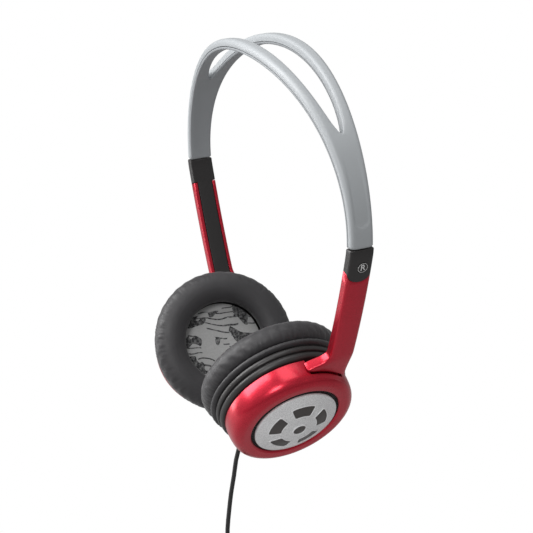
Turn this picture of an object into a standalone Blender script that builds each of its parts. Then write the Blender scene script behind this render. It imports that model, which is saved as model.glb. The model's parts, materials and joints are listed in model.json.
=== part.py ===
"""Wired headphones: a two-strand headband, two sliding arms and two tilting round ear cups.

Frame: +X is the wearer's right, +Y the wearer's front, +Z up. The origin is the crown point,
midway between the strands and level with the liner's inner face, where the headband rests on a
head or on a hook. Everything is worked out in millimetres and scaled to metres as a mesh is made.
The right side is built first, and the left side is its mirror image.
"""

import math

import bmesh
import bpy
from mathutils import Matrix, Vector

MM = 0.001
GAP = 0.3                  # between touching pieces
RIGHT, LEFT = 1, -1

# Headband: an oval arch, R(phi) = radius - oval cos 2phi + shoulder cos 4phi, phi from the crown
ARCH_RADIUS = 78.5
ARCH_OVAL = 7.45
ARCH_SHOULDER = 0.33
ARCH_END = 92.8            # degrees from the crown to each band end
BAND_DEPTH = 4.95          # outer face to inner face
SHELL_DEPTH = 3.45
LINER_TOP = SHELL_DEPTH + GAP
CROWN_HALF_WIDTH = 13.8
END_HALF_WIDTH = 5.6
SLOT_HALF_WIDTH = 7.5
SLOT_END = 58.5            # degrees from the crown to each end of the slot
SLOT_POWER = 0.62
EDGE_DROP = 0.95           # how far the shell's outer face falls at its edges
CHANNEL_HALF_WIDTH = 4.3   # slider channel in the band end
CHANNEL_TOP = 1.25
CHANNEL_START = 64.0       # degrees from the crown
GROOVE_TOP = 1.6           # wire groove in each strand
PANEL_START, PANEL_END = 67.0, 87.0    # shallow panel on the outer face of each band end
PANEL_DROP = 0.35
WIRE_RADIUS = 0.5
WIRE_DEPTH = 2.6
WIRE_END = 70.0

# Arm: an arc that leans inwards as it goes down
ARM_LEAN = 16.8            # degrees at its top
ARM_CURVE = 0.133          # degrees more for each millimetre
ARM_BEND = 5.0             # length over which the band end's direction turns into the arm's
ARM_HALF_WIDTH = 5.8
ARM_DEPTH = 4.8
ARM_TOP_GAP = 1.0          # collar to band end
COLLAR_END = 13.0
TONGUE = 4.0               # how much lower the collar's edge is in the middle of the outer face
ARM_CHANNEL_HALF_WIDTH = 4.1
ARM_CHANNEL_TOP = 1.6
ARM_STRAIGHT_END = 58.5    # where the arm begins to curve into its foot
SWEEP_LENGTH = 11.3        # from there to the foot's lip
COVER_TOP = 3.3
COVER_START, COVER_END = 14.8, 62.0
BADGE_RADIUS = 2.4
BADGE_PLACE = 9.6

# Slider: a straight notched strip along the sliding direction
SLIDE_LEAN = -6.0          # degrees
STRIP_LENGTH = 23.0
STRIP_HALF_WIDTH = 3.0
STRIP_THICKNESS = 0.8
NOTCH_PITCH = 3.0
NOTCH_DEPTH = 0.5
MOUTH_DEPTH = 2.35

# Ear cup: every radius and depth is measured in the cup's own frame, depth 0 at the disc's rim
CUP_CENTRE = {RIGHT: Vector((50.1, -16.6, -160.8)),
              LEFT: Vector((50.1, -12.8, -160.4))}    # in the right side's coordinates
CUP_TILT = 32.0            # degrees that the outward axis points below the horizontal
FOOT_TWIST = {RIGHT: 0.0, LEFT: 6.3}    # degrees that the arm's foot turns about the arm
CUP_SWING = {RIGHT: 0.0, LEFT: 6.0}     # degrees that the cup's lower edge hangs outwards
RING_RADIUS = 29.9
RING_BACK = -12.4
DISC_RADIUS = 20.0
DISC_RISE = 4.2
DISC_THICKNESS = 0.9
WINDOW_COUNT = 5
WINDOW_INNER, WINDOW_OUTER = 8.6, 14.6
WINDOW_HALF_ANGLE = 25.0
DOT_RADIUS = 3.4

# Hinge between the arm's foot and the cup
FOOT_ANGLE = 24.0          # degrees from the cup's top towards the wearer's front
FOOT_HALF_ANGLE = 22.0
SLIM_HALF_ANGLE = 11.4     # the arm's own width at the foot's radius
TONGUE_HALF_ANGLE = 17.6
TONGUE_RADIUS = 24.6
POCKET_HALF_ANGLE = 19.5
BOSS_HALF_ANGLE = 29.0
FOOT_FRONT, FOOT_BACK = -5.1, -10.1
LIP_RADIUS = 30.7
LIP_FRONT, LIP_BACK = FOOT_FRONT + 0.3, FOOT_BACK - 0.2
FLARE_POWER = 2.3          # how late the arm widens into the lip
PIN_RADIUS = 0.9
PIN_DISTANCE = 26.1        # from the cup's axis
PIN_DEPTH = -7.6
PIN_HALF_LENGTH = 11.0
PIN_CLEARANCE = 0.3

POST_ANGLES = (150.0, 270.0)   # screw posts, degrees clockwise from the cup's top
POST_DISTANCE = 25.0
POST_RADIUS = 1.8

# Cord, on the left cup
CORD_RADIUS = 1.1
RELIEF_DEPTH = -15.0
RELIEF_ANGLE = 181.0       # degrees clockwise from the cup's top
RELIEF_START, RELIEF_END = 31.8, 43.3
COIL_CENTRE = Vector((-15.5, -24.0, -272.0))
COIL_RADIUS = 13.2
COIL_SECTION = 5.1
TIE_SECTION = 6.9
PLUG_TOP = Vector((-15.5, -33.2, -256.0))
CORD_ROUTE = (             # from the strain relief down to the tie on the coil
    (-18.36, -13.87, -192.52), (-17.5, -13.9, -194.1), (-16.9, -14.15, -196.6),
    (-16.8, -15.1, -200.3), (-16.5, -17.0, -206.0), (-16.1, -18.7, -213.9),
    (-16.1, -20.6, -222.8), (-16.0, -22.2, -232.4), (-15.7, -23.5, -241.1),
    (-15.5, -24.0, -250.0), (-15.5, -24.0, -251.9),
)

COLOURS = {
    "band_grey": ((0.42, 0.44, 0.46, 1), 0.38, 0.0),
    "liner_grey": ((0.24, 0.26, 0.28, 1), 0.5, 0.0),
    "black_plastic": ((0.025, 0.024, 0.025, 1), 0.42, 0.0),
    "red_metallic": ((0.52, 0.015, 0.04, 1), 0.28, 0.75),
    "silver": ((0.66, 0.66, 0.67, 1), 0.3, 0.7),
    "dark_inlay": ((0.07, 0.06, 0.06, 1), 0.45, 0.0),
    "leatherette": ((0.05, 0.05, 0.053, 1), 0.55, 0.0),
    "speaker_cloth": ((0.34, 0.34, 0.34, 1), 0.9, 0.0),
    "steel": ((0.6, 0.6, 0.6, 1), 0.3, 1.0),
    "gold": ((0.85, 0.6, 0.2, 1), 0.25, 1.0),
    "copper": ((0.7, 0.35, 0.2, 1), 0.35, 1.0),
    "film": ((0.5, 0.5, 0.45, 1), 0.3, 0.0),
    "board_green": ((0.03, 0.2, 0.08, 1), 0.5, 0.0),
    "cord_rubber": ((0.02, 0.02, 0.02, 1), 0.6, 0.0),
}


# ---------------------------------------------------------------- scene and object helpers

def clear_scene():
    for obj in list(bpy.data.objects):
        bpy.data.objects.remove(obj, do_unlink=True)


def material(name):
    existing = bpy.data.materials.get(name)
    if existing:
        return existing
    made = bpy.data.materials.new(name)
    made.use_nodes = True
    colour, roughness, metallic = COLOURS[name]
    shader = made.node_tree.nodes["Principled BSDF"]
    shader.inputs["Base Color"].default_value = colour
    shader.inputs["Roughness"].default_value = roughness
    shader.inputs["Metallic"].default_value = metallic
    made.diffuse_color = colour
    return made


def side_name(side):
    return "right_" if side == RIGHT else "left_"


def add_object(name, bm, material_name, side=RIGHT, frame=None, parent=None):
    """Turn a bmesh in millimetres into an object; the left side is mirrored in X."""
    if frame is not None:
        bmesh.ops.transform(bm, matrix=frame, verts=bm.verts)
    bmesh.ops.transform(bm, matrix=Matrix.Diagonal((side * MM, MM, MM, 1.0)), verts=bm.verts)
    bmesh.ops.recalc_face_normals(bm, faces=bm.faces)
    mesh = bpy.data.meshes.new(name)
    bm.to_mesh(mesh)
    bm.free()
    mesh.materials.append(material(material_name))
    mesh.shade_smooth()
    mesh.set_sharp_from_angle(angle=math.radians(35))
    obj = bpy.data.objects.new(name, mesh)
    bpy.context.scene.collection.objects.link(obj)
    if parent is not None:
        obj.parent = parent
        obj.matrix_parent_inverse = parent.matrix_world.inverted()
    return obj


def add_cutter(name, bm, side, frame, parent):
    cutter = add_object(name, bm, "black_plastic", side, frame, parent)
    cutter.hide_render = True
    cutter.display_type = 'WIRE'
    return cutter


def apply_boolean(obj, cutter, operation='DIFFERENCE'):
    modifier = obj.modifiers.new(cutter.name, 'BOOLEAN')
    modifier.operation = operation
    modifier.object = cutter
    modifier.solver = 'EXACT'


def add_pivot(name, place_mm, side):
    pivot = bpy.data.objects.new(name, None)
    pivot.location = Vector((side * place_mm.x, place_mm.y, place_mm.z)) * MM
    bpy.context.scene.collection.objects.link(pivot)
    bpy.context.view_layer.update()
    return pivot


# ---------------------------------------------------------------- mesh helpers

def loft(sections, fan_ends=False):
    """Closed solid through a list of sections, each a loop with the same number of points."""
    bm = bmesh.new()
    loops = [[bm.verts.new(point) for point in section] for section in sections]
    count = len(loops[0])
    for lower, upper in zip(loops, loops[1:]):
        for k in range(count):
            after = (k + 1) % count
            bm.faces.new((lower[k], lower[after], upper[after], upper[k]))
    for end in (loops[0], loops[-1]):
        if fan_ends:
            for k in range(count - 2):
                bm.faces.new((end[-1], end[k], end[k + 1]))
        else:
            bm.faces.new(end)
    return bm


def turned(profile, steps, closed=True):
    """Solid of revolution about local Z from (radius, depth) points."""
    bm = bmesh.new()
    verts = [bm.verts.new((radius, 0.0, depth)) for radius, depth in profile]
    edges = [bm.edges.new(pair) for pair in zip(verts, verts[1:])]
    if closed:
        edges.append(bm.edges.new((verts[-1], verts[0])))
    bmesh.ops.spin(bm, geom=verts + edges, cent=(0, 0, 0), axis=(0, 0, 1), angle=math.tau,
                   steps=steps, use_merge=True)
    bmesh.ops.remove_doubles(bm, verts=bm.verts, dist=0.0005)
    return bm


def box(low, high):
    corners = [(low[0], low[1]), (high[0], low[1]), (high[0], high[1]), (low[0], high[1])]
    return loft([[(x, y, z) for x, y in corners] for z in (low[2], high[2])])


def sector(inner, outer, start, end, back, front, steps=10):
    """Ring sector between two radii, two angles clockwise from +Y (degrees) and two depths."""
    sections = []
    for k in range(steps + 1):
        angle = math.radians(start + (end - start) * k / steps)
        x, y = math.sin(angle), math.cos(angle)
        sections.append([(inner * x, inner * y, back), (outer * x, outer * y, back),
                         (outer * x, outer * y, front), (inner * x, inner * y, front)])
    return loft(sections)


def joined(*parts):
    """Put several separate solids into one cutter mesh."""
    bm = bmesh.new()
    for part in parts:
        copy = bpy.data.meshes.new("joined")
        part.to_mesh(copy)
        part.free()
        bm.from_mesh(copy)
        bpy.data.meshes.remove(copy)
    return bm


def moved(bm, matrix):
    bmesh.ops.transform(bm, matrix=matrix, verts=bm.verts)
    return bm


def axis_frame(origin, direction):
    """Frame whose Z runs along a direction."""
    rotation = Vector((0, 0, 1)).rotation_difference(Vector(direction)).to_matrix().to_4x4()
    return Matrix.Translation(origin) @ rotation


def tube_sections(points, radius, sides):
    """Round sections square to a path of points."""
    sections = []
    for k, point in enumerate(points):
        ahead = points[min(k + 1, len(points) - 1)]
        behind = points[max(k - 1, 0)]
        along = (ahead - behind).normalized()
        across = along.cross(Vector((0, 1, 0))).normalized()
        other = along.cross(across)
        sections.append([point + radius * (math.cos(a) * across + math.sin(a) * other)
                         for a in (math.tau * i / sides for i in range(sides))])
    return sections


# ---------------------------------------------------------------- headband

def arch_radius(phi):
    return ARCH_RADIUS - ARCH_OVAL * math.cos(2 * phi) + ARCH_SHOULDER * math.cos(4 * phi)


def arch_point(phi, depth):
    """Point of the arch in the XZ plane at an angle from the crown and a depth inwards."""
    radius = arch_radius(phi)
    change = 2 * ARCH_OVAL * math.sin(2 * phi) - 4 * ARCH_SHOULDER * math.sin(4 * phi)
    along = Vector((change * math.sin(phi) + radius * math.cos(phi),
                    change * math.cos(phi) - radius * math.sin(phi))).normalized()
    outwards = Vector((-along.y, along.x))
    place = Vector((radius * math.sin(phi), radius * math.cos(phi) - arch_radius(0) + BAND_DEPTH))
    return place - depth * outwards


def half_width(phi):
    spread = math.cos(min(abs(phi), math.pi / 2)) ** 2
    return END_HALF_WIDTH + (CROWN_HALF_WIDTH - END_HALF_WIDTH) * spread


def slot_half_width(phi):
    inside = 1 - (math.degrees(phi) / SLOT_END) ** 2
    return SLOT_HALF_WIDTH * inside ** SLOT_POWER if inside > 1e-9 else 0.0


def shell_top(phi):
    """(share of the strand's width, depth) across the shell's outer face, from slot to edge."""
    slot_edge = EDGE_DROP * min(1.0, slot_half_width(phi) / 2.5)
    panel = PANEL_DROP if PANEL_START < abs(math.degrees(phi)) < PANEL_END else 0.0
    return [(0.0, slot_edge + panel), (0.14, panel), (0.62, panel), (0.70, 0.0),
            (0.86, 0.08), (1.0, EDGE_DROP)]


def shell_bottom(phi):
    """The same across the shell's inner face: the wire groove, or the slider's channel."""
    if abs(math.degrees(phi)) < CHANNEL_START - 1:
        deep, shallow = SHELL_DEPTH, GROOVE_TOP
        return [(0.0, deep), (0.30, deep), (0.32, shallow), (0.68, shallow), (0.70, deep),
                (1.0, deep)]
    wall = CHANNEL_HALF_WIDTH / half_width(phi)
    return [(0.0, CHANNEL_TOP), (0.30, CHANNEL_TOP), (0.32, CHANNEL_TOP),
            (wall - 0.01, CHANNEL_TOP), (wall, SHELL_DEPTH), (1.0, SHELL_DEPTH)]


def liner_top(phi):
    return [(0.0, LINER_TOP), (1.0, LINER_TOP)]


def liner_bottom(phi):
    rim = BAND_DEPTH - 0.5
    slot_rim = rim if slot_half_width(phi) > 0 else BAND_DEPTH
    return [(0.0, slot_rim), (0.15, BAND_DEPTH), (0.85, BAND_DEPTH), (1.0, rim)]


def band_stations():
    """Angles where the band's sections lie, closer together at the slot's ends."""
    half = [0, 5, 10, 15, 20, 25, 30, 35, 40, 45, 50, 53, SLOT_END - 2.5, SLOT_END - 0.7, SLOT_END,
            61.0,
            CHANNEL_START, PANEL_START - 0.6, PANEL_START + 0.6, 72, 77, 82,
            PANEL_END - 0.6, PANEL_END + 0.6, ARCH_END]
    return [math.radians(-angle) for angle in reversed(half[1:])] + [math.radians(a) for a in half]


def band_solid(top_profile, bottom_profile):
    """Two strands that join past the slot, between an outer and an inner face."""
    bm = bmesh.new()
    rows = []
    for phi in band_stations():
        slot, edge = slot_half_width(phi), half_width(phi)
        row = {}
        for sign in (-1, 1):
            for face, profile in (("top", top_profile), ("bottom", bottom_profile)):
                verts = []
                for share, depth in profile(phi):
                    flat = arch_point(phi, depth)
                    verts.append(bm.verts.new((flat.x, sign * (slot + (edge - slot) * share), flat.y)))
                row[face, sign] = verts
        row["open"] = slot > 0
        rows.append(row)
    for here, there in zip(rows, rows[1:]):
        for sign in (-1, 1):
            for face in ("top", "bottom"):
                near, far = here[face, sign], there[face, sign]
                for k in range(len(near) - 1):
                    bm.faces.new((near[k], near[k + 1], far[k + 1], far[k]))
            walls = (0, -1) if here["open"] or there["open"] else (-1,)
            for k in walls:
                bm.faces.new((here["top", sign][k], there["top", sign][k],
                              there["bottom", sign][k], here["bottom", sign][k]))
    for row in (rows[0], rows[-1]):
        outline = row["top", -1][::-1] + row["top", 1][1:]
        outline += row["bottom", 1][::-1] + row["bottom", -1][1:]
        bm.faces.new(outline)
    bmesh.ops.remove_doubles(bm, verts=bm.verts, dist=0.0005)
    return bm


def wire_offset(phi):
    """Distance of the signal wire from the band's middle, inside the rear strand."""
    angle = abs(math.degrees(phi))
    leave, settle, channel_place = 56.0, 62.0, 3.2
    if angle >= settle:
        return channel_place
    at = min(angle, leave)
    middle = 0.5 * (slot_half_width(math.radians(at)) + half_width(math.radians(at)))
    if angle <= leave:
        return middle
    return middle + (channel_place - middle) * (angle - leave) / (settle - leave)


def build_headband():
    add_object("headband_shell", band_solid(shell_top, shell_bottom), "band_grey")
    add_object("headband_liner", band_solid(liner_top, liner_bottom), "liner_grey")
    points = []
    steps = 40
    for k in range(steps + 1):
        phi = math.radians(-WIRE_END + 2 * WIRE_END * k / steps)
        flat = arch_point(phi, WIRE_DEPTH)
        points.append(Vector((flat.x, wire_offset(phi), flat.y)))
    add_object("crossover_wire", loft(tube_sections(points, WIRE_RADIUS, 6)), "cord_rubber")


# ---------------------------------------------------------------- arm

def end_lean():
    """Lean of the band where it ends, degrees from straight down."""
    step = math.radians(0.2)
    end = math.radians(ARCH_END)
    along = arch_point(end, 0) - arch_point(end - step, 0)
    return math.degrees(math.atan2(-along.x, -along.y))


def arm_lean(distance):
    lean = ARM_LEAN + ARM_CURVE * distance
    start = end_lean()
    return start + (lean - start) * min(1.0, max(0.0, distance) / ARM_BEND)


def arm_point(distance, depth, across=0.0):
    """Point of the arm, at a distance down its outer face from the band end."""
    place = arch_point(math.radians(ARCH_END), 0)
    steps = max(1, round(abs(distance)))
    for k in range(steps):
        lean = math.radians(arm_lean(distance * (k + 0.5) / steps))
        place += Vector((-math.sin(lean), -math.cos(lean))) * (distance / steps)
    lean = math.radians(arm_lean(distance))
    place += depth * Vector((-math.cos(lean), math.sin(lean)))
    return Vector((place.x, across, place.y))


def arm_outline():
    """(across, depth) loop of the arm's section: crowned outer face, flat inner face."""
    w, d = ARM_HALF_WIDTH, ARM_DEPTH
    half = [(w, 1.3), (w - 0.35, 0.4), (w - 1.3, 0.0), (w / 2, -0.15)]
    mirrored = [(-across, depth) for across, depth in half]
    return [(w, d)] + half + [(0.0, -0.2)] + mirrored[::-1] + [(-w, d), (0.0, d)]


def tongue_drop(across, depth):
    """Extra length of the collar at a point of its lower edge."""
    if depth > 0.5:
        return 0.0
    return TONGUE * (1 - (across / ARM_HALF_WIDTH) ** 2)


def arm_section(distance, drop=0.0):
    return [arm_point(distance + drop * tongue_drop(across, depth), depth, across)
            for across, depth in arm_outline()]


def foot_point(side, angle, radius, depth):
    """World point from an angle (degrees from the cup's top towards the front) and radii."""
    turn = math.radians(angle)
    local = Vector((radius * math.sin(turn), radius * math.cos(turn), depth))
    return foot_frame(side) @ local


def foot_section(side, radius, half_angle, front=FOOT_FRONT, back=FOOT_BACK):
    """The arm's outline wrapped round the cup at one radius."""
    points = []
    for across, depth in arm_outline():
        angle = FOOT_ANGLE + half_angle * across / ARM_HALF_WIDTH
        share = max(0.0, depth) / ARM_DEPTH
        points.append(foot_point(side, angle, radius, front + (back - front) * share))
    return points


def arm_place(side, distance, depth, across=0.0):
    """Point of the arm at its own width, on the straight part or on the curve into the foot."""
    if distance <= ARM_STRAIGHT_END:
        return arm_point(distance, depth, across)
    angle = FOOT_ANGLE + SLIM_HALF_ANGLE * across / ARM_HALF_WIDTH
    share = max(0.0, depth) / ARM_DEPTH
    start = arm_point(ARM_STRAIGHT_END, depth, across)
    end = foot_point(side, angle, LIP_RADIUS, LIP_FRONT + (LIP_BACK - LIP_FRONT) * share)
    along = SWEEP_LENGTH * (arm_point(ARM_STRAIGHT_END + 0.5, 0) - arm_point(ARM_STRAIGHT_END - 0.5, 0))
    inwards = SWEEP_LENGTH * (foot_point(side, FOOT_ANGLE, LIP_RADIUS - 0.5, 0)
                              - foot_point(side, FOOT_ANGLE, LIP_RADIUS + 0.5, 0))
    t = (distance - ARM_STRAIGHT_END) / SWEEP_LENGTH
    return ((2 * t ** 3 - 3 * t ** 2 + 1) * start + (t ** 3 - 2 * t ** 2 + t) * along
            + (3 * t ** 2 - 2 * t ** 3) * end + (t ** 3 - t ** 2) * inwards)


def arm_shell_sections(side):
    sections = [arm_section(COLLAR_END + GAP, drop=1.0)]
    distance = COLLAR_END + TONGUE + 2.0
    while distance < ARM_STRAIGHT_END:
        sections.append(arm_section(distance))
        distance += 7.6
    sections.append(arm_section(ARM_STRAIGHT_END))
    lip = foot_section(side, LIP_RADIUS, FOOT_HALF_ANGLE, LIP_FRONT, LIP_BACK)
    slim_lip = foot_section(side, LIP_RADIUS, SLIM_HALF_ANGLE, LIP_FRONT, LIP_BACK)
    for share in (0.25, 0.5, 0.7, 0.86):
        distance = ARM_STRAIGHT_END + SWEEP_LENGTH * share
        slim = [arm_place(side, distance, depth, across) for across, depth in arm_outline()]
        sections.append([point + (wide - narrow) * share ** FLARE_POWER
                         for point, wide, narrow in zip(slim, lip, slim_lip)])
    sections.append(lip)
    sections.append(foot_section(side, LIP_RADIUS - 0.5, FOOT_HALF_ANGLE, LIP_FRONT, LIP_BACK))
    sections.append(foot_section(side, LIP_RADIUS - 0.52, TONGUE_HALF_ANGLE))
    sections.append(foot_section(side, TONGUE_RADIUS, TONGUE_HALF_ANGLE))
    return sections


def arm_strip_solid(side, half, top, bottom, start, end, step=7.6):
    """Strip along the arm between two depths."""
    count = max(1, round((end - start) / step))
    sections = []
    for k in range(count + 1):
        distance = start + (end - start) * k / count
        sections.append([arm_place(side, distance, top, -half), arm_place(side, distance, top, half),
                         arm_place(side, distance, bottom, half),
                         arm_place(side, distance, bottom, -half)])
    return loft(sections)


def slide_direction():
    """Way that the right arm slides out of the band."""
    lean = math.radians(SLIDE_LEAN)
    return Vector((-math.sin(lean), 0.0, -math.cos(lean)))


def slide_mouth():
    flat = arch_point(math.radians(ARCH_END), MOUTH_DEPTH)
    return Vector((flat.x, 0.0, flat.y))


def slider_sections():
    """Notched straight strip in the band, bent where it enters the collar."""
    down = slide_direction()
    out = down.cross(Vector((0, 1, 0))).normalized()
    mouth = slide_mouth()
    sections = []
    travelled = -STRIP_LENGTH
    while travelled < -2.0:
        for offset, half in ((0.0, STRIP_HALF_WIDTH), (0.9, STRIP_HALF_WIDTH),
                             (1.5, STRIP_HALF_WIDTH - NOTCH_DEPTH), (2.1, STRIP_HALF_WIDTH)):
            centre = mouth + down * (travelled + offset)
            sections.append(strip_section(centre, out, half))
        travelled += NOTCH_PITCH
    for distance in (2.0, 6.0, 11.0):
        lean = math.radians(arm_lean(distance))
        inwards = Vector((math.cos(lean), 0.0, -math.sin(lean)))
        sections.append(strip_section(arm_point(distance, MOUTH_DEPTH), inwards, STRIP_HALF_WIDTH))
    return sections


def strip_section(centre, normal, half, thickness=STRIP_THICKNESS):
    across = Vector((0, half, 0))
    rise = normal * (thickness / 2)
    return [centre - across + rise, centre + across + rise,
            centre + across - rise, centre - across - rise]


def build_detent_clip(side):
    """Leaf beside the strip with a bump that faces the notches."""
    down = slide_direction()
    out = down.cross(Vector((0, 1, 0))).normalized() * 0.35
    sections = []
    for travelled, inner in ((-14.0, 3.4), (-10.5, 3.4), (-9.6, 3.14), (-9.0, 3.14), (-8.1, 3.4),
                             (-4.0, 3.4)):
        centre = slide_mouth() + down * travelled
        low, high = Vector((0, inner, 0)), Vector((0, 3.95, 0))
        sections.append([centre + low + out, centre + high + out, centre + high - out,
                         centre + low - out])
    add_object(side_name(side) + "detent_clip", loft(sections), "steel", side)


def build_arm(side):
    prefix = side_name(side)
    pivot = add_pivot(prefix + "arm_slide", slide_mouth(), side)

    shell = add_object(prefix + "arm_shell", loft(arm_shell_sections(side), True), "red_metallic", side,
                       parent=pivot)
    channel = add_cutter(prefix + "arm_channel_cut",
                         arm_strip_solid(side, ARM_CHANNEL_HALF_WIDTH, ARM_CHANNEL_TOP,
                                         ARM_DEPTH + 1, 10.0, COVER_END + GAP), side, None, pivot)
    apply_boolean(shell, channel)
    bore = add_cutter(prefix + "foot_bore_cut",
                      pin_solid(PIN_RADIUS + PIN_CLEARANCE, PIN_HALF_LENGTH + 2), side,
                      foot_frame(side), pivot)
    apply_boolean(shell, bore)

    cover = add_object(prefix + "arm_cover",
                       arm_strip_solid(side, ARM_CHANNEL_HALF_WIDTH - GAP, COVER_TOP,
                                       ARM_DEPTH, COVER_START, COVER_END), "black_plastic", side,
                       parent=pivot)
    screw_place = 20.0
    lean = math.radians(arm_lean(screw_place))
    inwards = Vector((-math.cos(lean), 0.0, math.sin(lean)))
    screw_frame = axis_frame(arm_point(screw_place, 0.0), inwards)
    seat = turned([(0, 2.8), (1.0, 2.8), (1.0, 4.0), (1.6, 4.0), (1.6, 5.6), (0, 5.6)], 16, False)
    apply_boolean(cover, add_cutter(prefix + "screw_seat_cut", seat, side, screw_frame, pivot))
    screw = turned([(0, 2.0), (0.7, 2.2), (0.7, 4.3), (1.3, 4.3), (1.25, 4.7), (0.5, 4.75),
                    (0.4, 4.5), (0, 4.5)], 12, False)
    add_object(prefix + "arm_screw", screw, "steel", side, screw_frame, pivot)

    build_collar(side, pivot)
    add_object(prefix + "slider_strip", loft(slider_sections()), "steel", side, parent=pivot)
    return pivot


def collar_top_section():
    """The collar's top, parallel to the band's end face."""
    start = end_lean()
    points = []
    for across, depth in arm_outline():
        lean = math.radians(start)
        flat = arch_point(math.radians(ARCH_END), depth)
        flat += ARM_TOP_GAP * Vector((-math.sin(lean), -math.cos(lean)))
        points.append(Vector((flat.x, across, flat.y)))
    return points


def build_collar(side, pivot):
    prefix = side_name(side)
    sections = [collar_top_section()] + [arm_section(s) for s in (4.5, 8.0, 12.0)]
    sections.append(arm_section(COLLAR_END, drop=1.0))
    collar = add_object(prefix + "arm_collar", loft(sections, True), "black_plastic", side, parent=pivot)

    slot_sections = []
    for distance in (-1.0, 2.0, 6.0, 11.0 + GAP):
        lean = math.radians(arm_lean(distance))
        inwards = Vector((math.cos(lean), 0.0, -math.sin(lean)))
        slot_sections.append(strip_section(arm_point(distance, MOUTH_DEPTH), inwards,
                                           STRIP_HALF_WIDTH + GAP, STRIP_THICKNESS + 2 * GAP))
    apply_boolean(collar, add_cutter(prefix + "collar_slot_cut", loft(slot_sections), side, None,
                                     pivot))
    lean = math.radians(arm_lean(BADGE_PLACE))
    outwards = Vector((math.cos(lean), 0.0, -math.sin(lean)))
    badge_frame = axis_frame(arm_point(BADGE_PLACE, 0.0, 0.8), outwards)
    recess = turned([(0, -0.6), (BADGE_RADIUS + GAP, -0.6), (BADGE_RADIUS + GAP, 1.0), (0, 1.0)],
                    20, False)
    apply_boolean(collar, add_cutter(prefix + "badge_recess_cut", recess, side, badge_frame, pivot))
    badge = turned([(0, -0.3), (BADGE_RADIUS, -0.3), (BADGE_RADIUS, 0.2), (BADGE_RADIUS - 0.15, 0.3),
                    (0, 0.3)], 20, False)
    add_object(prefix + "side_badge", badge, "black_plastic", side, badge_frame, pivot)


# ---------------------------------------------------------------- ear cup

def pin_place():
    """Middle of the hinge pin, and its direction, in the cup's own frame."""
    turn = math.radians(FOOT_ANGLE)
    middle = Vector((PIN_DISTANCE * math.sin(turn), PIN_DISTANCE * math.cos(turn), PIN_DEPTH))
    return middle, Vector((math.cos(turn), -math.sin(turn), 0.0))


def turned_about(point, axis, degrees):
    rotation = Matrix.Rotation(math.radians(degrees), 4, axis)
    return Matrix.Translation(point) @ rotation @ Matrix.Translation(-point)


def foot_frame(side):
    """Cup frame as the arm's foot holds it: X is the wearer's front, Y the cup's top, Z outwards."""
    tilt = math.radians(CUP_TILT)
    outwards = Vector((math.cos(tilt), 0.0, -math.sin(tilt)))
    up = Vector((math.sin(tilt), 0.0, math.cos(tilt)))
    frame = Matrix((Vector((0, 1, 0)), up, outwards)).transposed().to_4x4()
    middle, along = pin_place()
    arm_axis = Vector((-along.y, along.x, 0.0))
    return Matrix.Translation(CUP_CENTRE[side]) @ frame @ turned_about(middle, arm_axis, FOOT_TWIST[side])


def cup_frame(side):
    """The same frame after the cup has swung on its pin."""
    middle, along = pin_place()
    return foot_frame(side) @ turned_about(middle, along, -CUP_SWING[side])


def pin_solid(radius, half_length):
    """Cylinder along the hinge axis, in the cup's own frame."""
    middle, along = pin_place()
    profile = [(0, -half_length), (radius, -half_length), (radius, half_length), (0, half_length)]
    return moved(turned(profile, 16, False), axis_frame(middle, along))


def disc_height(radius):
    return DISC_RISE * (1 - (radius / DISC_RADIUS) ** 2)


def dome_profile(radius, lift, thickness, rings):
    """Domed plate under the disc's surface, from the middle of its top round to its underside."""
    radii = [radius * k / rings for k in range(rings + 1)]
    top = [(r, disc_height(r) + lift) for r in radii]
    bottom = [(r, disc_height(r) + lift - thickness) for r in radii]
    return top + bottom[::-1]


def post_frame(angle):
    turn = math.radians(angle)
    return Matrix.Translation((POST_DISTANCE * math.sin(turn), POST_DISTANCE * math.cos(turn), 0))


def build_cup_ring(side, pivot):
    prefix = side_name(side)
    frame = cup_frame(side)
    profile = [(21.6, -0.7), (22.3, -0.1), (25.0, 0.0), (27.0, -0.5), (28.7, -1.7), (29.6, -3.7),
               (RING_RADIUS, -7.5), (29.6, RING_BACK), (27.6, RING_BACK), (27.6, -3.6),
               (25.6, -2.3), (21.6, -2.3)]
    ring = add_object(prefix + "cup_ring", turned(profile, 40), "red_metallic", side, frame, pivot)
    boss = sector(23.1, 28.6, FOOT_ANGLE - BOSS_HALF_ANGLE, FOOT_ANGLE + BOSS_HALF_ANGLE,
                  RING_BACK + 0.2, -1.9)
    apply_boolean(ring, add_cutter(prefix + "hinge_boss_add", boss, side, frame, pivot), 'UNION')
    posts = joined(*[moved(turned([(0, -17.2), (POST_RADIUS, -17.2), (POST_RADIUS, -2.0),
                                   (0, -2.0)], 14, False), post_frame(a)) for a in POST_ANGLES])
    apply_boolean(ring, add_cutter(prefix + "posts_add", posts, side, frame, pivot), 'UNION')
    pocket = sector(23.9, 33.0, FOOT_ANGLE - POCKET_HALF_ANGLE, FOOT_ANGLE + POCKET_HALF_ANGLE,
                    RING_BACK - 1, FOOT_FRONT + 0.8)
    apply_boolean(ring, add_cutter(prefix + "foot_pocket_cut", pocket, side, frame, pivot))
    bore = add_cutter(prefix + "pin_bore_cut",
                      pin_solid(PIN_RADIUS + PIN_CLEARANCE, PIN_HALF_LENGTH + GAP), side, frame,
                      pivot)
    apply_boolean(ring, bore)
    pilots = joined(*[moved(turned([(0, -18), (1.0, -18), (1.0, -11.0), (0, -11.0)], 10, False),
                            post_frame(a)) for a in POST_ANGLES])
    apply_boolean(ring, add_cutter(prefix + "pilot_cut", pilots, side, frame, pivot))
    add_object(prefix + "hinge_pin", pin_solid(PIN_RADIUS, PIN_HALF_LENGTH), "steel", side,
               frame, pivot)


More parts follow.
